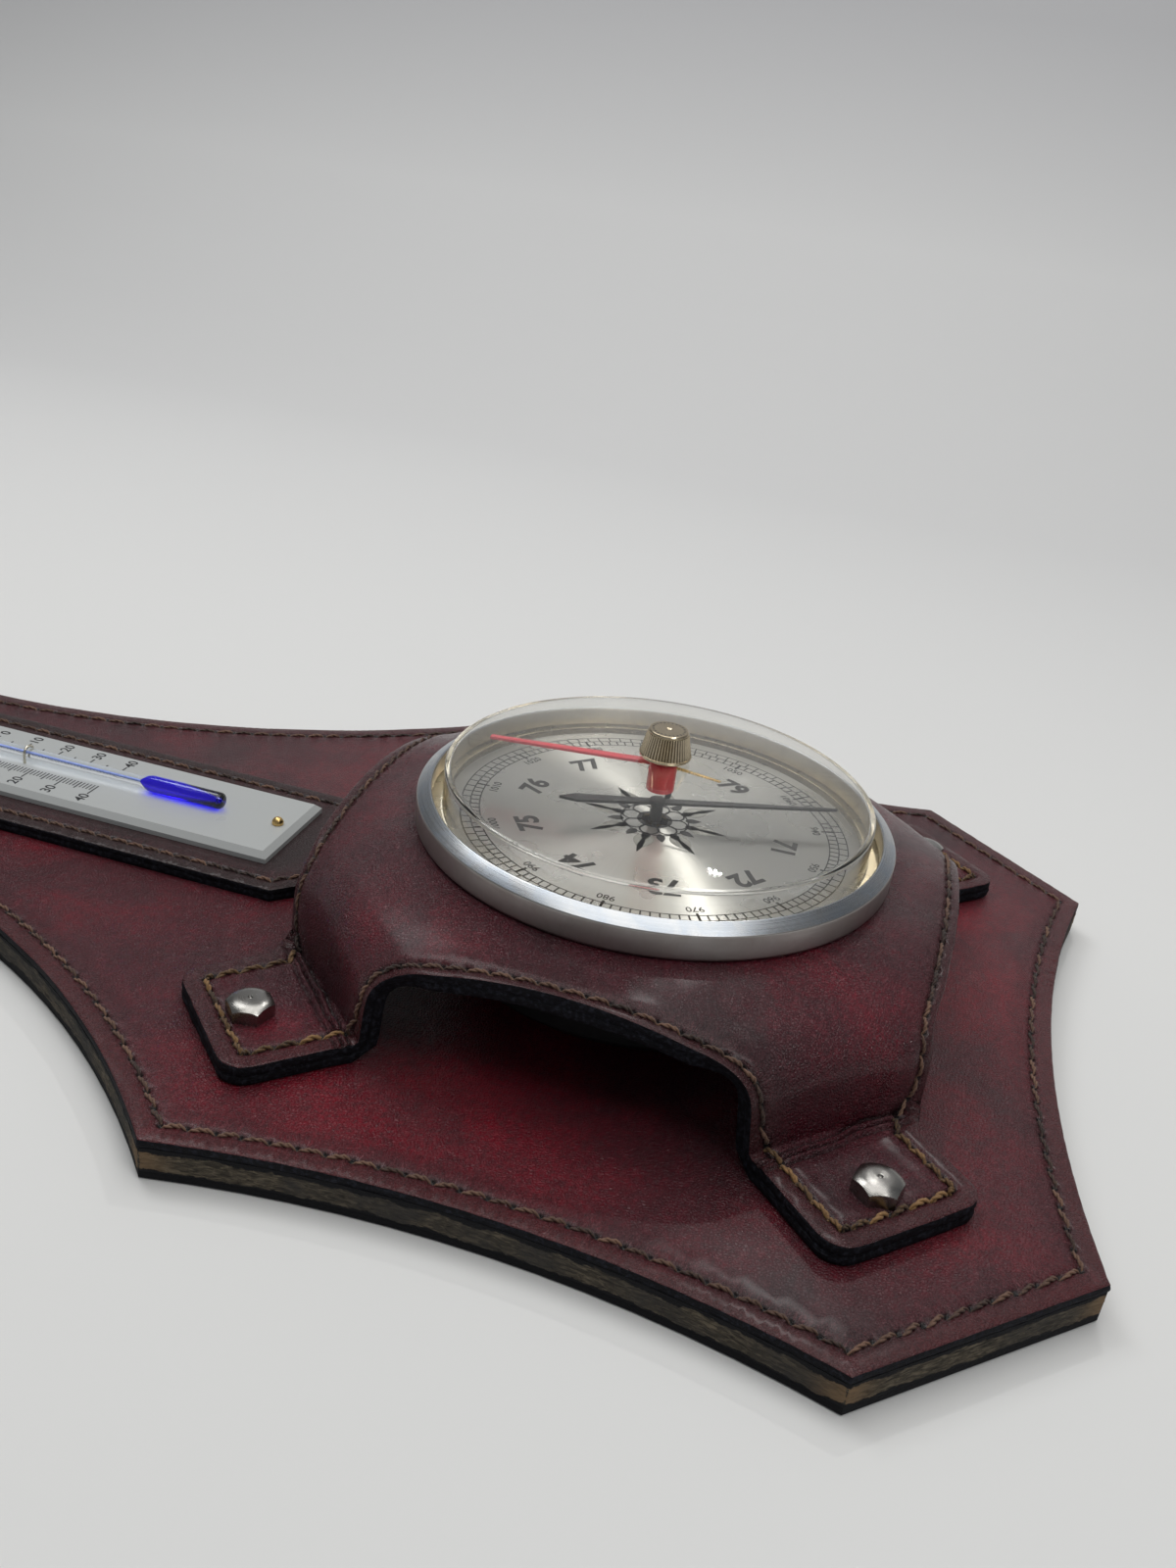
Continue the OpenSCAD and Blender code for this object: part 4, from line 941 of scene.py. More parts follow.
# The saddle: a sheet with four legs, bent down at the diagonals
saddle = {"archReach": 81.2, "archBow": 0.8, "legWidth": 41.2, "legShift": 5.3, "crease": 90.8, "tab": 29.5,
          "tabCorner": 6, "fallRadius": 70, "bendRadius": 14, "creaseRadius": 0.8, "fall": 18, "riser": 86,
          "layer": 2.5, "hole": 54.6, "seamArch": 2.8, "seamTab": 5.0, "stitch": 5.4, "gap": 1.8,
          "archDroop": 1.5, "legSag": {(-1, -1): 1.5, (-1, 1): 0.4, (1, -1): 0.7, (1, 1): 0.5},
          "boltAlong": 18.2, "boltAcross": 6.3}
archThread = {"fill": 0.94, "twist": 1.5, "slant": 0.12, "ply": 0.26, "lift": 0.36, "dive": 0.85, "seed": 21}
tabThread = {"fill": 0.94, "twist": 1.25, "slant": 0.16, "ply": 0.33, "lift": 0.45, "dive": 0.85, "seed": 31}
tabTop = boardTop + 2 * saddle["layer"]
legLeft = saddle["legShift"] - saddle["legWidth"] / 2
legRight = saddle["legShift"] + saddle["legWidth"] / 2


def saddleSection():  # distance along the leather, and the plan distance, fall and slope there
    fall, riser = math.radians(saddle["fall"]), math.radians(saddle["riser"])
    big, small, tight = saddle["fallRadius"], saddle["bendRadius"], saddle["creaseRadius"]
    drop = coverTop - tabTop - tight * (1 - math.cos(riser)) - big * (1 - math.cos(fall))
    drop -= small * (math.cos(fall) - math.cos(riser))
    run = drop / math.tan(riser) + (small + tight) * math.sin(riser) + (big - small) * math.sin(fall)
    beyond, step = 60, 0.02
    lengths = [saddle["crease"] - run, big * fall, small * (riser - fall), drop / math.sin(riser),
               tight * riser]
    knots = np.concatenate([[0], np.cumsum(lengths + [beyond])])
    along = np.arange(0, knots[-1], step)
    slope = np.interp(along + step / 2, knots, [0, 0, fall, riser, riser, 0, 0])
    plan = np.concatenate([[0], np.cumsum(np.cos(slope) * step)])[:-1]
    fell = np.concatenate([[0], np.cumsum(np.sin(slope) * step)])[:-1]
    return along, plan, fell, slope, knots[5]


alongLeg, planLeg, fellLeg, slopeLeg, tabStart = saddleSection()


def diagonal(points):  # distance along and across the leg that a point is on
    u, v = np.abs(points[:, 0]), np.abs(points[:, 1])
    return (u + v) / rootTwo, (u - v) / rootTwo


def onLeg(along, across):
    return np.array([along + across, along - across]) / rootTwo


def unrolled(plan):
    a, l = diagonal(plan)
    s = np.interp(a, planLeg, alongLeg)
    return np.where(plan < 0, -1, 1) * np.column_stack([s + l, s - l]) / rootTwo


def saddleLoop(gap):
    reach, bend = saddle["archReach"], saddle["archBow"]
    notchX = onLeg(rootTwo * (reach + bend) - legRight, legRight)
    notchY = onLeg(rootTwo * (reach - 2 * bend) + legLeft, legLeft)
    archX = bow(notchX * [1, -1], notchX, bend, 0.02)
    archY = bow(notchY, notchY * [-1, 1], -bend, 0.02)
    inner, r = saddle["crease"] + saddle["tab"] - saddle["tabCorner"], saddle["tabCorner"]
    quarter = np.vstack([evenly(unrolled(archX[archX[:, 1] >= 0]), gap),
                         unrolled(arc(onLeg(inner, legRight - r), r, -45, 45, 8)),
                         unrolled(arc(onLeg(inner, legLeft + r), r, 45, 135, 8)),
                         evenly(unrolled(archY[archY[:, 0] >= 0]), gap)])
    half = np.vstack([quarter, mirrored(quarter, 0)])
    return withoutDoubles(np.vstack([half, mirrored(half, 1)]))


saddleOutline = saddleLoop(saddle["gap"] * 0.7)
archLine = evenly(saddleOutline, 1, True)
archLine = archLine[diagonal(archLine)[0] < tabStart - 6]


def fromBolt(points):
    s, l = diagonal(points)
    return np.hypot(s - tabStart - saddle["boltAlong"], l - saddle["boltAcross"])


# How the leather leaves its drawn shape; rolls and painted shade at the crease are (height or strength,
# place, width)
ease = {"droopWidth": 14, "droopEnds": (84, 100), "legAt": 80, "legWidth": 15, "wave": 0.22, "waveSize": 24,
        "tabLift": 0.35, "boltGrip": (11, 24), "ringGrip": (60, 71)}
creaseRolls = [(0.95, 0.9, 0.55), (-0.8, -0.1, 0.4), (-0.8, 1.75, 0.3), (0.85, 2.6, 0.55), (-0.6, 3.5, 0.4)]
creaseShade = [(0.9, -0.1, 0.35), (0.85, 1.75, 0.3), (0.6, 3.5, 0.35)]


def saddleSag(points):  # how far the whole sheet leaves its drawn shape
    s = diagonal(points)[0]
    sag = -saddle["archDroop"] * bell(nearest(points, archLine)[0], ease["droopWidth"])
    sag = sag * (1 - rise(s, *ease["droopEnds"]))
    for (sx, sy), depth in saddle["legSag"].items():
        here = (points[:, 0] * sx >= 0) & (points[:, 1] * sy >= 0)
        sag = sag - np.where(here, depth * bell(s - ease["legAt"], ease["legWidth"]), 0)
    wave = ease["wave"] * softNoise(points, ease["waveSize"], 3)
    sag = sag + wave * (1 - rise(s, tabStart - 8, tabStart))
    lift = ease["tabLift"] * rise(fromBolt(points), *ease["boltGrip"]) * rise(s, tabStart + 1, tabStart + 4)
    return sag * rise(np.hypot(points[:, 0], points[:, 1]), *ease["ringGrip"]) + lift


def onSaddle(depth=0.0):
    def surface(points):
        s, l = diagonal(points)
        plan, slope = np.interp(s, alongLeg, planLeg), np.interp(s, alongLeg, slopeLeg)
        signs = np.where(points < 0, -1, 1)
        ground = signs * np.column_stack([plan + l, plan - l]) / rootTwo
        normal = np.column_stack([signs * (np.sin(slope) / rootTwo)[:, None], np.cos(slope)])
        origin = np.column_stack([ground, coverTop - np.interp(s, alongLeg, fellLeg)])
        return origin - normal * depth, normal, saddleSag(points)
    return surface


def fromCrease(points):
    s, l = diagonal(points)
    return s - tabStart - 0.5 * softNoise(points, 9, 6) - 0.3 * softNoise(points, 3.5, 8) - 0.04 * l


def creaseLines(points):  # painted shade along the lines of the crease
    at = fromCrease(points)
    return {"fold": sum(strength * bell(at - place, width) for strength, place, width in creaseShade)}


def saddleSkin(points, edgeDist, lineDist, holeDist):  # the seam, the rolls at the crease, the bolt's dent
    groove = 0.5 * bell(lineDist, 0.95) + 0.7 * bell(holeDist, 0.55)
    pillow = 0.22 * bell(lineDist - 2.6, 1.5) * rise(edgeDist, 0.6, 2.0)
    at = fromCrease(points)
    rolls = sum(height * bell(at - place, width) for height, place, width in creaseRolls)
    rolls = rolls * (0.85 + 0.25 * softNoise(points, 6, 4))
    bolt = fromBolt(points)
    dent = 0.12 * bell(bolt - 9, 2) - 0.35 * bell(bolt, 7.6)
    return pillow - groove + rolls + dent + 0.06 * softNoise(points, 4, 1)


def creaseRows():  # close rows of points where the leather is creased
    s, l = np.meshgrid(np.arange(tabStart - 2.4, tabStart + 5.4, 0.3), np.arange(legLeft, legRight, 1.1))
    corner = onLeg(s.ravel(), l.ravel()).T
    return np.vstack([corner * [sx, sy] for sx in (-1, 1) for sy in (-1, 1)])


def seamInset(points):
    onTab = rise(diagonal(points)[0], tabStart - 9, tabStart + 1)
    return saddle["seamArch"] + (saddle["seamTab"] - saddle["seamArch"]) * onTab


def buildSaddle():
    ring = arc((0, 0), saddle["hole"], 360, 0, 97)[:-1]
    holes = seam(saddleOutline, seamInset, saddle["stitch"])
    leatherSheet("coverLeather", [saddleOutline, ring], onSaddle(), [coverHide, blackEdge, blackNap],
                 saddle["gap"], saddle["layer"], saddleSkin, holes, creaseRows(), softness=0.35, ragged=0.14,
                 wall=[(0.5, 0.06), (1.0, 0.16), (1.5, 0.22), (2.0, 0.18), (2.4, 0.0)], marked=creaseLines,
                 stands=["cover_leather"], slot="burgundy")
    leatherSheet("coverLining", [saddleOutline, ring], onSaddle(saddle["layer"] + 0.03),
                 [blackNap, blackEdge, blackNap], saddle["gap"] * 1.3, saddle["layer"] - 0.06, softness=0,
                 ragged=0.16, wall=[(0.1, -0.05), (0.6, 0.22), (1.2, 0.30), (1.8, 0.25), (2.3, 0.05)],
                 stands=["cover_lining"], slot="lining")
    isTab = lambda points: diagonal(points)[0] > tabStart - 1
    stitchRow("archStitches", holes, onSaddle(), tanThread, archThread, 0.2, lambda points: ~isTab(points))
    stitchRow("tabStitches", holes, onSaddle(), goldThread, tabThread, 0.2, isTab)


buildSaddle()
print("saddle ready")


# The pad under the thermometer
pad = {"halfWidth": 29.4, "low": 86, "high": 312, "clip": 9.5, "core": 2.2, "leather": 1.4, "seamInset": 4.7,
       "stitch": 5.0, "gap": 2.6}
padThread = {"fill": 0.94, "twist": 1.4, "slant": 0.16, "ply": 0.28, "lift": 0.36, "dive": 0.8, "seed": 41}


def buildPad():
    w, low, high, c = pad["halfWidth"], pad["low"], pad["high"], pad["clip"]
    loop = np.array([(w, low + c), (w, high - c), (w - c, high), (c - w, high), (-w, high - c), (-w, low + c),
                     (c - w, low), (w - c, low)], float)
    holes = seam(loop, pad["seamInset"], pad["stitch"])
    surface = flatAt(boardTop + pad["core"] + pad["leather"])
    leatherSheet("padLeather", [loop], surface, [padHide, blackEdge, blackNap], pad["gap"], pad["leather"],
                 seamGroove(0.30, 0.7), holes, softness=0.3, wall=[(0.4, 0.06), (0.8, 0.12), (1.2, 0.06)],
                 stands=["pad_leather"], slot="pad")
    leatherSheet("padCore", [loop], flatAt(boardTop + pad["core"] - 0.02), [blackNap, blackEdge, blackNap],
                 pad["gap"] * 2, pad["core"] - 0.04, softness=0, ragged=0.16, stands=["pad_core"],
                 wall=[(0.1, -0.05), (0.7, 0.2), (1.4, 0.22), (2.0, 0.05)], slot="lining")
    stitchRow("padStitches", holes, surface, tanThread, padThread)


buildPad()
print("pad ready")


# The bolts
bolt = {"flats": 10, "head": 4.2, "chamfer": 1.6, "crownPower": 3.4, "pit": 0.6, "pitDepth": 0.5, "turn": 15,
        "shank": 2.95, "sunk": 0.35, "shankFoot": 1.2}


def boltHead(count=96):  # a grid of rings that changes from a round crown to six flats
    sides = np.arange(count) * 2 * math.pi / count
    reach = bolt["flats"] / 2 / np.cos((sides + math.pi / 6) % (math.pi / 3) - math.pi / 6)
    outer, top, pit = bolt["flats"] / math.cos(math.pi / 6) / 2 + 0.1, bolt["head"], bolt["pit"]
    foot = coreLow + bolt["shankFoot"] - tabTop

    def crown(r):
        return top - bolt["chamfer"] * np.clip((r - pit) / (outer - pit), 0, 1) ** bolt["crownPower"]
    rings = [(0.3, top - bolt["pitDepth"] + 0.08), (pit, top), (pit + 0.15, top + 0.02)]
    for share in np.linspace(0.2, 1, 18):
        r = np.maximum(reach * share, pit + 0.2 + share * 0.1)
        rings.append((r, crown(r)))
    rings += [(reach + 0.02, crown(reach) - drop) for drop in (0.1, 0.6, 1.6)]
    rings += [(reach, -bolt["sunk"]), (bolt["shank"], -bolt["sunk"]), (bolt["shank"], foot)]
    verts = [[(0, 0, top - bolt["pitDepth"])]]
    for r, z in rings:
        verts.append(np.column_stack([r * np.cos(sides), r * np.sin(sides), np.zeros(count) + z]))
    verts = np.vstack(verts + [[(0, 0, foot)]])
    faces = [[0, 1 + i, 1 + (i + 1) % count] for i in range(count)]
    for k in range(len(rings) - 1):
        a, b = 1 + k * count, 1 + (k + 1) * count
        faces += [[a + i, b + i, b + (i + 1) % count, a + (i + 1) % count] for i in range(count)]
    end = 1 + (len(rings) - 1) * count
    faces += [[len(verts) - 1, end + (i + 1) % count, end + i] for i in range(count)]
    return verts, faces


def buildBolts():
    shape = turned(boltHead(), angle=bolt["turn"])
    x, y = onLeg(saddle["crease"] + saddle["boltAlong"], saddle["boltAcross"])
    heads = [turned(shape, shift=(sx * x, sy * y, tabTop)) for sx in (-1, 1) for sy in (-1, 1)]
    swirl = np.tile(np.hypot(shape[0][:, 0], shape[0][:, 1]) * mm, 4)
    addPiece("coverBolts", joined(*heads), [boltSteel], crease=32, marks={"swirl": swirl},
             stands=["cover_bolts"], slot="bolt_steel")


buildBolts()
print("bolts ready")


# The instrument: bezel and crystal
instrument = {"bezel": 62.5, "rim": 60.4, "side": 7.0, "mouth": 58.7, "rise": 2.1, "flange": 1.4,
              "dial": 60.2, "crystal": 55.9, "wall": 1.5, "shoulder": 11.9, "dome": 6.5, "stemHole": 1.95}
seat = dialTop + instrument["flange"]


def bezelSection():
    i = instrument
    r, z, mouth, top = i["bezel"], coverTop, i["mouth"], coverTop + i["side"] + i["rise"]
    return rounded([(i["rim"], z), (r - 0.6, z), (r, z + 0.7), (r, z + i["side"] - 0.1), (mouth + 0.5, top),
                    (mouth, top - 0.5), (mouth, seat), (i["rim"], seat)], 0.35, 5)


def crystalSection():
    i = instrument
    r, t, foot = i["crystal"], i["wall"], dialTop + 0.02
    apex = dialTop + i["shoulder"] + i["dome"]
    radius = (r * r + i["dome"] ** 2) / (2 * i["dome"])
    dome = lambda x, inward: (x, apex - radius + math.sqrt((radius - inward) ** 2 - x * x))
    outer = [dome(x, 0) for x in np.linspace(r - 1.2, i["stemHole"], 26)]
    inner = [dome(x, t) for x in np.linspace(i["stemHole"], r - t - 0.9, 26)]
    flange = [(r - t, foot), (i["dial"], foot), (i["dial"], seat - 0.1), (r + 0.25, seat - 0.1),
              (r, seat + 0.15)]
    return (inner + fillet(inner[-1], dome(r - t, t), (r - t, foot), 0.8, 6) + flange
            + fillet((r, seat), dome(r, 0), outer[0], 1.1, 6) + outer)


def buildInstrument():
    ring, cover = bezelSection(), crystalSection()
    bevelLow, wallReach = coverTop + instrument["side"] - 0.2, instrument["mouth"] + 0.1
    bevel = lambda r, z, flat: 1 if flat and z > bevelLow else 2 if r < wallReach else 0
    addPiece("bezelRing", lathe(ring, 288), [satinSilver, polished, innerRim], crease=34,
             kinds=kindsRound(ring, 288, bevel), stands=["bezel"], slot="bezel_metal")
    rim = lambda r, z, flat: 1 if r > instrument["crystal"] else 0
    addPiece("boxCrystal", lathe(cover, 224), [acrylic, agedRim], crease=34,
             kinds=kindsRound(cover, 224, rim), stands=["crystal"], slot="crystal")


buildInstrument()


# The dial print: scale, numbers and a plain rosette
scale = {"zero": 178.4, "at": 980, "step": 2.8, "low": 938, "high": 1062, "circles": (46.0, 48.4, 50.8),
         "line": 0.3, "tens": range(940, 1061, 10), "numberRadius": 43.2, "numberSize": 3.1,
         "bold": range(71, 80), "boldRadius": 34, "boldSize": 8.4, "perBold": 13.3322}
rosette = {"leaves": (8.8, 17.8, 5.2, 0.75), "thorns": (8.0, 19.5, 1.5, 1.6), "buds": (8.2, 12.6, 2.4, 0.7),
           "points": 8, "inner": (4.3, 0.7), "outer": (8.9, 0.45), "scroll": (2.5, 0.5), "scrollsAt": 6.2}


def scaleAngle(value):
    return scale["zero"] - scale["step"] * (value - scale["at"])


def ringPrint(radius, width, count=240):
    low, high = radius - width / 2, radius + width / 2
    top = dialTop + printDepth
    return lathe([(low, dialTop), (high, dialTop), (high, top), (low, top)], count)


def ladder(values, low, high, width):
    turns = np.radians([scaleAngle(v) for v in values])
    middle, n = (low + high) / 2, len(turns)
    spots = np.column_stack([middle * np.cos(turns), middle * np.sin(turns), np.full(n, dialTop + 0.02)])
    return pointCloud(spots, turn=turns, long=np.full(n, (high - low) * mm), wide=np.full(n, width * mm))


def numberAt(text, value, radius, size, weight=0.0):
    turn = scaleAngle(value)
    spot = (radius * math.cos(math.radians(turn)), radius * math.sin(math.radians(turn)), dialTop + 0.015)
    return turned(figures(text, size, weight), angle=turn - 90, shift=spot)


def petal(inner, outer, width, bulge):  # a pointed leaf that lies along +X
    t = np.linspace(0, 1, 15)
    half = width / 2 * np.sin(math.pi * t ** bulge)
    x = inner + (outer - inner) * t
    outline = np.vstack([np.column_stack([x, -half]), np.column_stack([x, half])[::-1][1:-1]])
    return prism(outline, dialTop, dialTop + printDepth)


def buildDial():
    inner, middle, outer = scale["circles"]
    line, ink = scale["line"], {"looks": [dialInk], "slot": "hand_black"}
    addPiece("scaleCircles", joined(*[ringPrint(r, line) for r in scale["circles"]]), **ink)
    for name, values, low, high, width in (
            ("innerTicks", range(scale["low"], scale["high"] + 1), inner, middle, line * 1.4),
            ("outerTicks", np.arange(704, 797) * scale["perBold"] / 10, middle, outer, line * 1.2),
            ("tenTicks", scale["tens"], inner - 1, middle, line * 2.2)):
        finishPiece(printing.grow(ladder(values, low, high, width)), name, slot="hand_black")
    small = [numberAt(str(v), v, scale["numberRadius"], scale["numberSize"], 0.03) for v in scale["tens"]]
    addPiece("scaleNumbers", joined(*small), **ink)
    bold = [numberAt(str(v), v * scale["perBold"], scale["boldRadius"], scale["boldSize"], 0.3)
            for v in scale["bold"]]
    addPiece("boldNumbers", joined(*bold), **ink)
    points = rosette["points"]
    for name, leaf, count, look in (("rosetteLeaves", "leaves", points, leafGrey),
                                    ("rosetteThorns", "thorns", points, dialInk),
                                    ("rosetteBuds", "buds", 2 * points, dialInk)):
        finishPiece(aroundAxis(petal(*rosette[leaf]), count, look), name, slot="hand_black")
    scrolls = [turned(ringPrint(*rosette["scroll"], 40),
                      shift=(*arc((0, 0), rosette["scrollsAt"], a, a, 1)[0], 0))
               for a in range(0, 360, 360 // points)]
    rings = joined(ringPrint(*rosette["inner"]), ringPrint(*rosette["outer"]), *scrolls)
    addPiece("rosetteRings", rings, **ink)


buildDial()
print("dial ready")


# The hands and the knob
hands = {"readingTurn": -66.5, "readingTip": 49, "readingTail": 26, "readingRise": 4.8, "blade": 0.8,
         "hub": 1.65, "hubTop": 2.2, "hubDeep": 5, "hubRise": 1.1, "setTurn": 86, "setTip": 48.3,
         "setTail": 15.5, "setSlope": 6.3, "setThick": 0.8, "tailThick": 0.45, "bush": 3.65,
         "bushHeight": 7.6, "stem": 1.875}
knob = {"wide": 6.8, "top": 5.3, "height": 7.8, "rim": 1.2, "cap": 0.9, "knurls": 48, "knurlDepth": 0.3,
        "groove": 0.15, "dimple": (1.0, 0.5), "dimpleDepth": (0.28, 0.36), "marks": 24, "markFrom": 3.8,
        "markTo": 4.4}
apex = dialTop + instrument["shoulder"] + instrument["dome"]
setTop = apex - instrument["wall"] - 0.4
knobFoot = apex + 0.4


def buildReadingHand():
    tip, tail, z = hands["readingTip"], hands["readingTail"], dialTop + hands["readingRise"]
    half = np.array([(-tail, 0.0), (-tail + 4.5, -1.85), (-tail * 0.4, -1.45), (2, -1.3), (tip - 2, -0.42),
                     (tip, -0.12)])
    outline = np.vstack([half, mirrored(half, 1)[:-1]])
    blade = beveled(prism(outline, z, z + hands["blade"]), 0.10)
    low, step, top = z - hands["hubDeep"], z + 0.1, z + hands["hubRise"]
    section = [(0, low), (hands["hub"], low), (hands["hub"], step), (hands["hubTop"], step),
               (hands["hubTop"], top), (0, top)]
    hub = lathe(rounded(section, 0.2, 3), 48)
    addPiece("blackHand", turned(joined(blade, hub), angle=hands["readingTurn"]), [slateBlack],
             body="reading", crease=30, stands=["reading_hand"], slot="hand_black")


def buildSetHand():
    t, top, slope = hands["setThick"], setTop - 0.05, hands["setSlope"]
    strip = np.array([(0, -1.45), (hands["setTip"], -0.85), (hands["setTip"], 0.85), (0, 1.45)])
    blade = turned(beveled(prism(strip, -t, 0), 0.12), "Y", slope, (0, 0, top))
    low = setTop - hands["bushHeight"]
    bush = lathe(rounded([(hands["stem"], low), (hands["bush"], low), (hands["bush"], setTop),
                          (hands["stem"], setTop)], 0.25), 72)
    addPiece("redHand", turned(joined(blade, bush), angle=hands["setTurn"]), [signalRed], body="setting",
             crease=30, stands=["set_hand"], slot="hand_red")
    needle = np.array([(-hands["setTail"], -0.32), (0, -0.6), (0, 0.6), (-hands["setTail"], 0.32)])
    tail = turned(beveled(prism(needle, -t, hands["tailThick"] - t), 0.1), "Y", -slope / 2, (0, 0, top))
    addPiece("goldTail", turned(tail, angle=hands["setTurn"]), [brass], body="setting", crease=30,
             slot="knob_nickel")


def buildKnob():
    k, z, wide = knob, knobFoot, knob["wide"]
    low, high, top = z + k["rim"], z + k["height"] - k["cap"], z + k["height"]
    core, waist = wide - k["groove"] - k["knurlDepth"], k["top"] - k["groove"]
    stem, stemFoot = hands["stem"], setTop - hands["bushHeight"]
    (dimple, inner), (shallow, deep) = k["dimple"], k["dimpleDepth"]
    section = [(0, stemFoot), (stem, stemFoot), (stem, z), (wide - 0.9, z), (wide - 0.1, z + 0.55),
               (wide, low - 0.12), (wide - 0.1, low), (core, low), (waist, high), (k["top"], high),
               (k["top"], high + 0.5), (k["top"] - 0.35, top), (dimple, top), (inner, top - shallow),
               (0, top - deep)]
    section = rounded(section, 0.12, 3)
    groove = lambda r, z, flat: 1 if low + 0.05 < z < high - 0.05 and r > waist - 0.1 else 0
    addPiece("knobBody", lathe(section, 144), [champagne, grooveShade], body="setting", crease=34,
             kinds=kindsRound(section, 144, groove), stands=["knob"], slot="knob_nickel")
    ridge = []
    for r, y in ((core, low - 0.02), (waist, high + 0.02)):
        half = math.pi * r / k["knurls"]
        ridge += [(r - 0.1, -half, y), (r + k["knurlDepth"] * r / core, 0, y), (r - 0.1, half, y)]
    shape = (np.array(ridge), [[0, 1, 4, 3], [1, 2, 5, 4], [2, 0, 3, 5], [2, 1, 0], [3, 4, 5]])
    finishPiece(aroundAxis(shape, k["knurls"], champagne), "knobKnurls", body="setting", crease=20,
                slot="knob_nickel")
    near, far = k["markFrom"], k["markTo"]
    notch = prism(np.array([(near, -0.14), (far, -0.18), (far, 0.18), (near, 0.14)]), top - 0.1, top + 0.02)
    finishPiece(aroundAxis(notch, k["marks"], slateBlack), "knobMarks", body="setting", slot="knob_nickel")


buildReadingHand()
buildSetHand()
buildKnob()
print("hands ready")


# The thermometer
tube = {"bulbLow": 125.6, "bulbLength": 27, "bulb": 2.5, "stem": 1.6, "stemLength": 128.4, "glass": 0.4,
        "bore": 0.24, "column": 53.9, "lift": 0.2, "nose": 1.5, "tickLow": 164, "tickHigh": 277,
        "tickGap": 1.1, "tickStart": 4.4, "tickLong": (5.6, 4.2, 3.2), "tickWide": (0.45, 0.36),
        "coldest": -40, "numberAcross": 12.6, "numberSize": 4.4}


def buildThermometer():
    b, s, long, nose = tube["bulb"], tube["stem"], tube["bulbLength"], tube["nose"]
    total = long + tube["stemLength"]
    lying = lambda shape: turned(shape, "X", -90, (0, tube["bulbLow"], plateTop + b + tube["lift"]))
    outer = [(b - nose + nose * math.sin(a), nose - nose * math.cos(a))
             for a in np.linspace(0.2, math.pi / 2, 7)]
    outer = [(0, 0), *outer, (b, long - 4), (b - 0.15, long - 3), (s + 0.3, long - 0.8), (s, long + 0.4),
             (s, total - 1.2), (s - 0.35, total - 0.4), (0, total)]
    addPiece("glassTube", lying(lathe(outer, 48)), [tubeGlass], crease=50, stands=["thermometer_tube"],
             slot="tube_glass")
    g, bore, start, top = b - tube["glass"], tube["bore"], long - 0.3, long + tube["column"]
    inner = [(0, 0.7), (g - 0.9, 0.7), (g, 1.8), (g, long - 4.2), (g - 0.3, long - 3.2), (bore, start),
             (bore, top), (0, top)]
    kinds = kindsRound(inner, 40, lambda r, z, flat: 1 if z > start else 0)
    addPiece("blueSpirit", lying(lathe(inner, 40)), [spirit, spiritLine], kinds=kinds, crease=50,
             stands=["thermometer_spirit"], slot="spirit")


def buildPlateScale():
    rows = np.arange(tube["tickLow"], tube["tickHigh"], tube["tickGap"])
    count = np.arange(len(rows))
    ten, five, one = tube["tickLong"]
    long = np.where(count % 10 == 0, ten, np.where(count % 5 == 0, five, one))
    wide = np.where(count % 5 == 0, *tube["tickWide"])
    middle, height = tube["tickStart"] + long / 2, plateTop + printDepth / 2
    half = np.column_stack([middle, rows, np.full(len(rows), height)])
    marks = np.vstack([half * [-1, 1, 1], half])
    cloud = pointCloud(marks, turn=np.zeros(len(marks)), long=np.tile(long, 2) * mm,
                       wide=np.tile(wide, 2) * mm)
    finishPiece(printing.grow(cloud), "plateTicks", slot="hand_black")
    numbers = [turned(figures(str(abs(10 * k + tube["coldest"])), tube["numberSize"], 0.06),
                      shift=(side * tube["numberAcross"], rows[10 * k], height))
               for k in range(len(rows) // 10 + 1) for side in (-1, 1)]
    addPiece("plateNumbers", joined(*numbers), [dialInk], slot="hand_black")


buildThermometer()
buildPlateScale()
print("thermometer ready")


# The floor, the light and the camera: metres, watts
# far is the grey of the painted shade that darkens the backdrop
floor = {"light": (0.775, 0.775, 0.765), "dark": (0.755, 0.755, 0.745), "far": (0.50, 0.50, 0.51),
         "near": -2.2, "bend": 0.6, "top": 2.4, "half": 3, "below": 0.0004}


def buildStage():
    look = Look("floorPaper", Specular_IOR_Level=0.2, Roughness=0.8)
    paper = look.blend(look.noise(3, 3), floor["light"], floor["dark"])
    parts = look.radius()[1]
    # painted shade: the backdrop turns greyer as it rises and recedes
    far = look.calc("MAXIMUM", look.range(parts[2], 0.01, 0.34), look.range(parts[0], 0.1, 0.6, 0, 0.4))
    look.done(Base_Color=look.blend(far, paper, floor["far"]))
    bend, turns = floor["bend"], np.linspace(0.08, math.pi / 2, 14)
    curve = [(floor["near"], 0.0), (bend, 0.0)]
    curve += [(bend + bend * math.sin(a), bend - bend * math.cos(a)) for a in turns]
    curve.append((2 * bend, floor["top"]))
    verts = [(x, y, z - floor["below"]) for x, z in curve for y in (-floor["half"], floor["half"])]
    mesh = bpy.data.meshes.new("floor")
    mesh.from_pydata(verts, [], [[2 * i, 2 * i + 2, 2 * i + 3, 2 * i + 1] for i in range(len(curve) - 1)])
    mesh.shade_smooth()
    mesh.materials.append(look.material)
    ground = bpy.data.objects.new("floor", mesh)
    bpy.context.scene.collection.objects.link(ground)


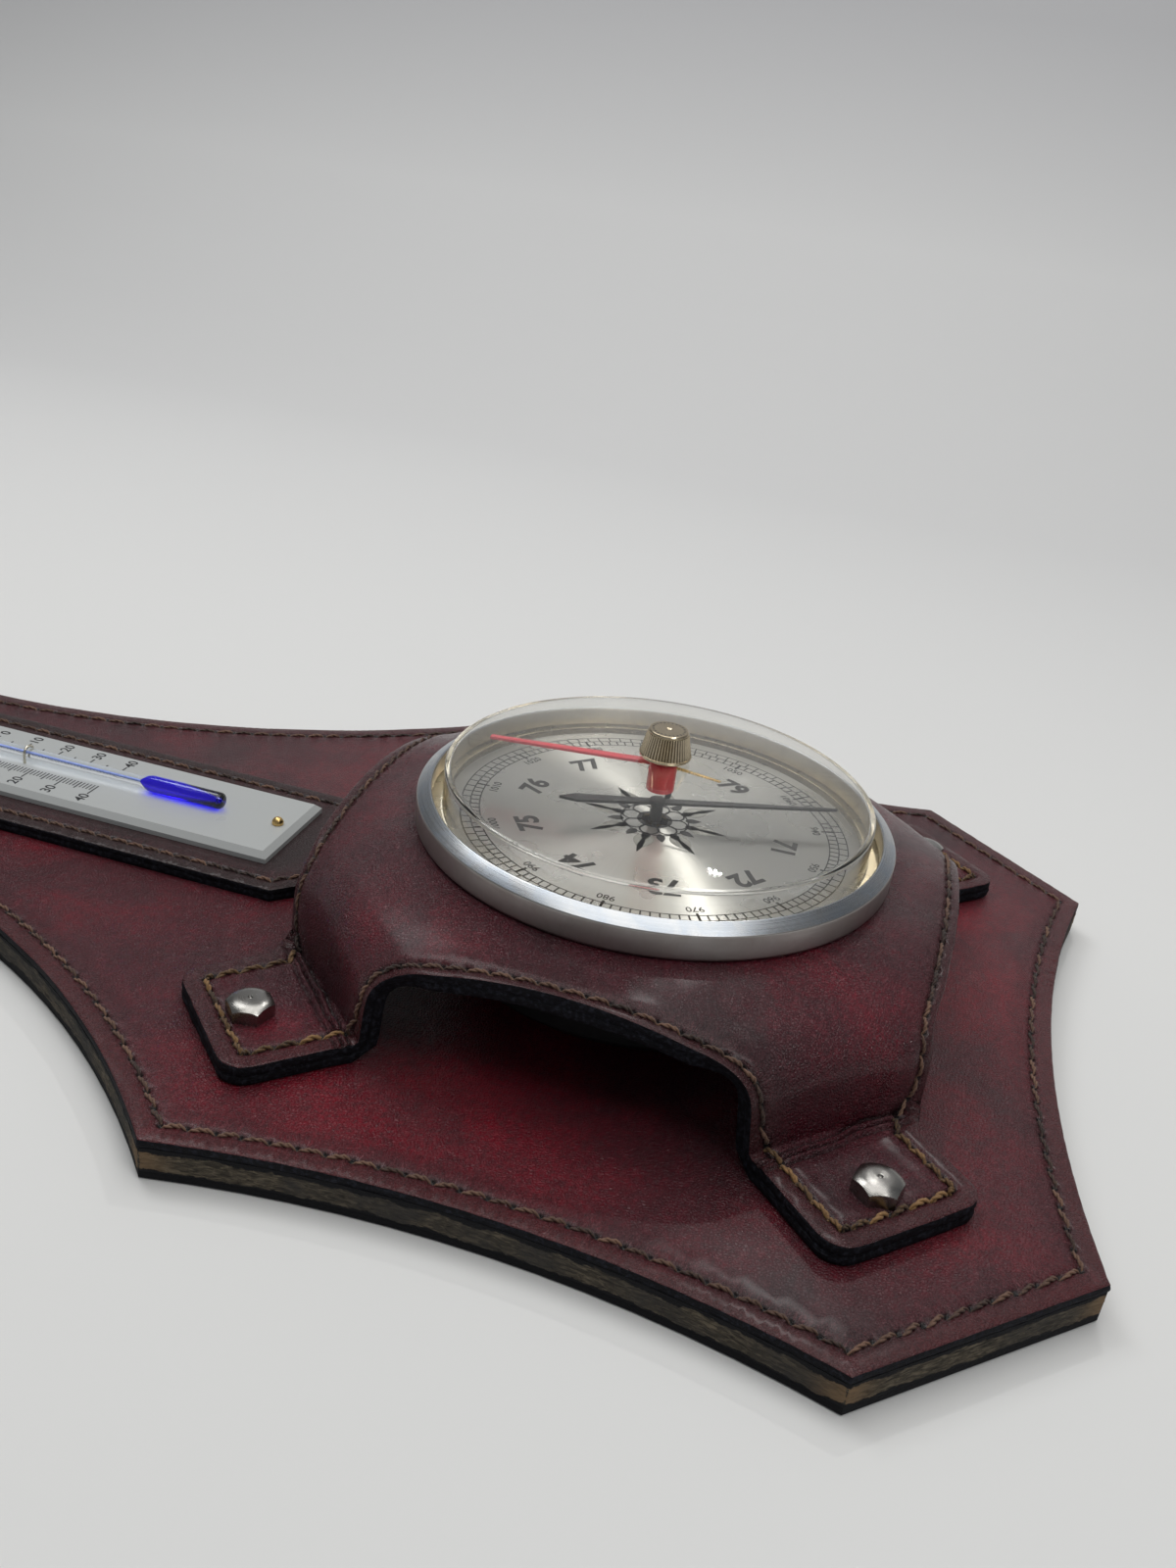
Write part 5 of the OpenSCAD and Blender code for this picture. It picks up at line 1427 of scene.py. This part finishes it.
def addLamp(name, place, size, power, tone):  # a square lamp aimed at the origin
    data = bpy.data.lights.new(name, "AREA")
    data.shape = "RECTANGLE"
    data.size = data.size_y = size
    data.energy = power
    data.color = tone
    lamp = bpy.data.objects.new(name, data)
    lamp.location = place
    lamp.rotation_euler = (-Vector(place)).to_track_quat("-Z", "Y").to_euler()
    bpy.context.scene.collection.objects.link(lamp)


room = {"tone": (0.94, 0.97, 1.0, 1), "strength": 0.2}


def buildWorld():
    world = bpy.data.worlds.new("room")
    world.use_nodes = True
    bpy.context.scene.world = world
    background = world.node_tree.nodes["Background"].inputs
    background["Color"].default_value = room["tone"]
    background["Strength"].default_value = room["strength"]


view = {"place": (-0.31684, -0.05324, 0.20796), "azimuth": -77.137, "elevation": 25.641, "roll": 7.659,
        "focal": 1394.37, "width": 1200}


def addCamera():
    data = bpy.data.cameras.new("camera")
    data.sensor_fit = "HORIZONTAL"
    data.sensor_width = 36
    data.lens = view["focal"] * 36 / view["width"]
    data.clip_start = 0.01
    az, el, roll = (math.radians(view[k]) for k in ("azimuth", "elevation", "roll"))
    back = Vector((math.sin(az) * math.cos(el), -math.cos(az) * math.cos(el), math.sin(el)))
    right = Vector((math.cos(az), math.sin(az), 0))
    up = back.cross(right)
    x = math.cos(roll) * right + math.sin(roll) * up
    y = -math.sin(roll) * right + math.cos(roll) * up
    camera = bpy.data.objects.new("camera", data)
    camera.matrix_world = Matrix([[x[i], y[i], back[i], view["place"][i]] for i in range(3)] + [[0, 0, 0, 1]])
    bpy.context.scene.collection.objects.link(camera)
    bpy.context.scene.camera = camera


lamps = {"overheadLamp": ((0.12, 0.05, 1.7), 1.6, 15, (1.0, 0.99, 0.97)),
         "softLamp": ((-0.55, -0.75, 1.25), 0.4, 3, (1, 1, 1)),
         "sideLamp": ((0.42, 0.8, 1.25), 0.55, 4, (0.98, 0.99, 1.0))}
spots = {"A": (0.80, -0.066, 1.05), "B": (0.80, -0.056, 1.067), "C": (0.80, -0.052, 1.042),
         "D": (0.80, -0.042, 1.062), "E": (0.80, -0.036, 1.045)}  # small lamps that glint in the dome
for letter, place in spots.items():
    lamps["spotLamp" + letter] = (place, 0.009, 0.24, (1.0, 0.99, 0.98))

buildStage()
buildWorld()
for name, values in lamps.items():
    addLamp(name, *values)
addCamera()
bpy.context.scene.view_settings.view_transform = "Standard"
print("scene ready")
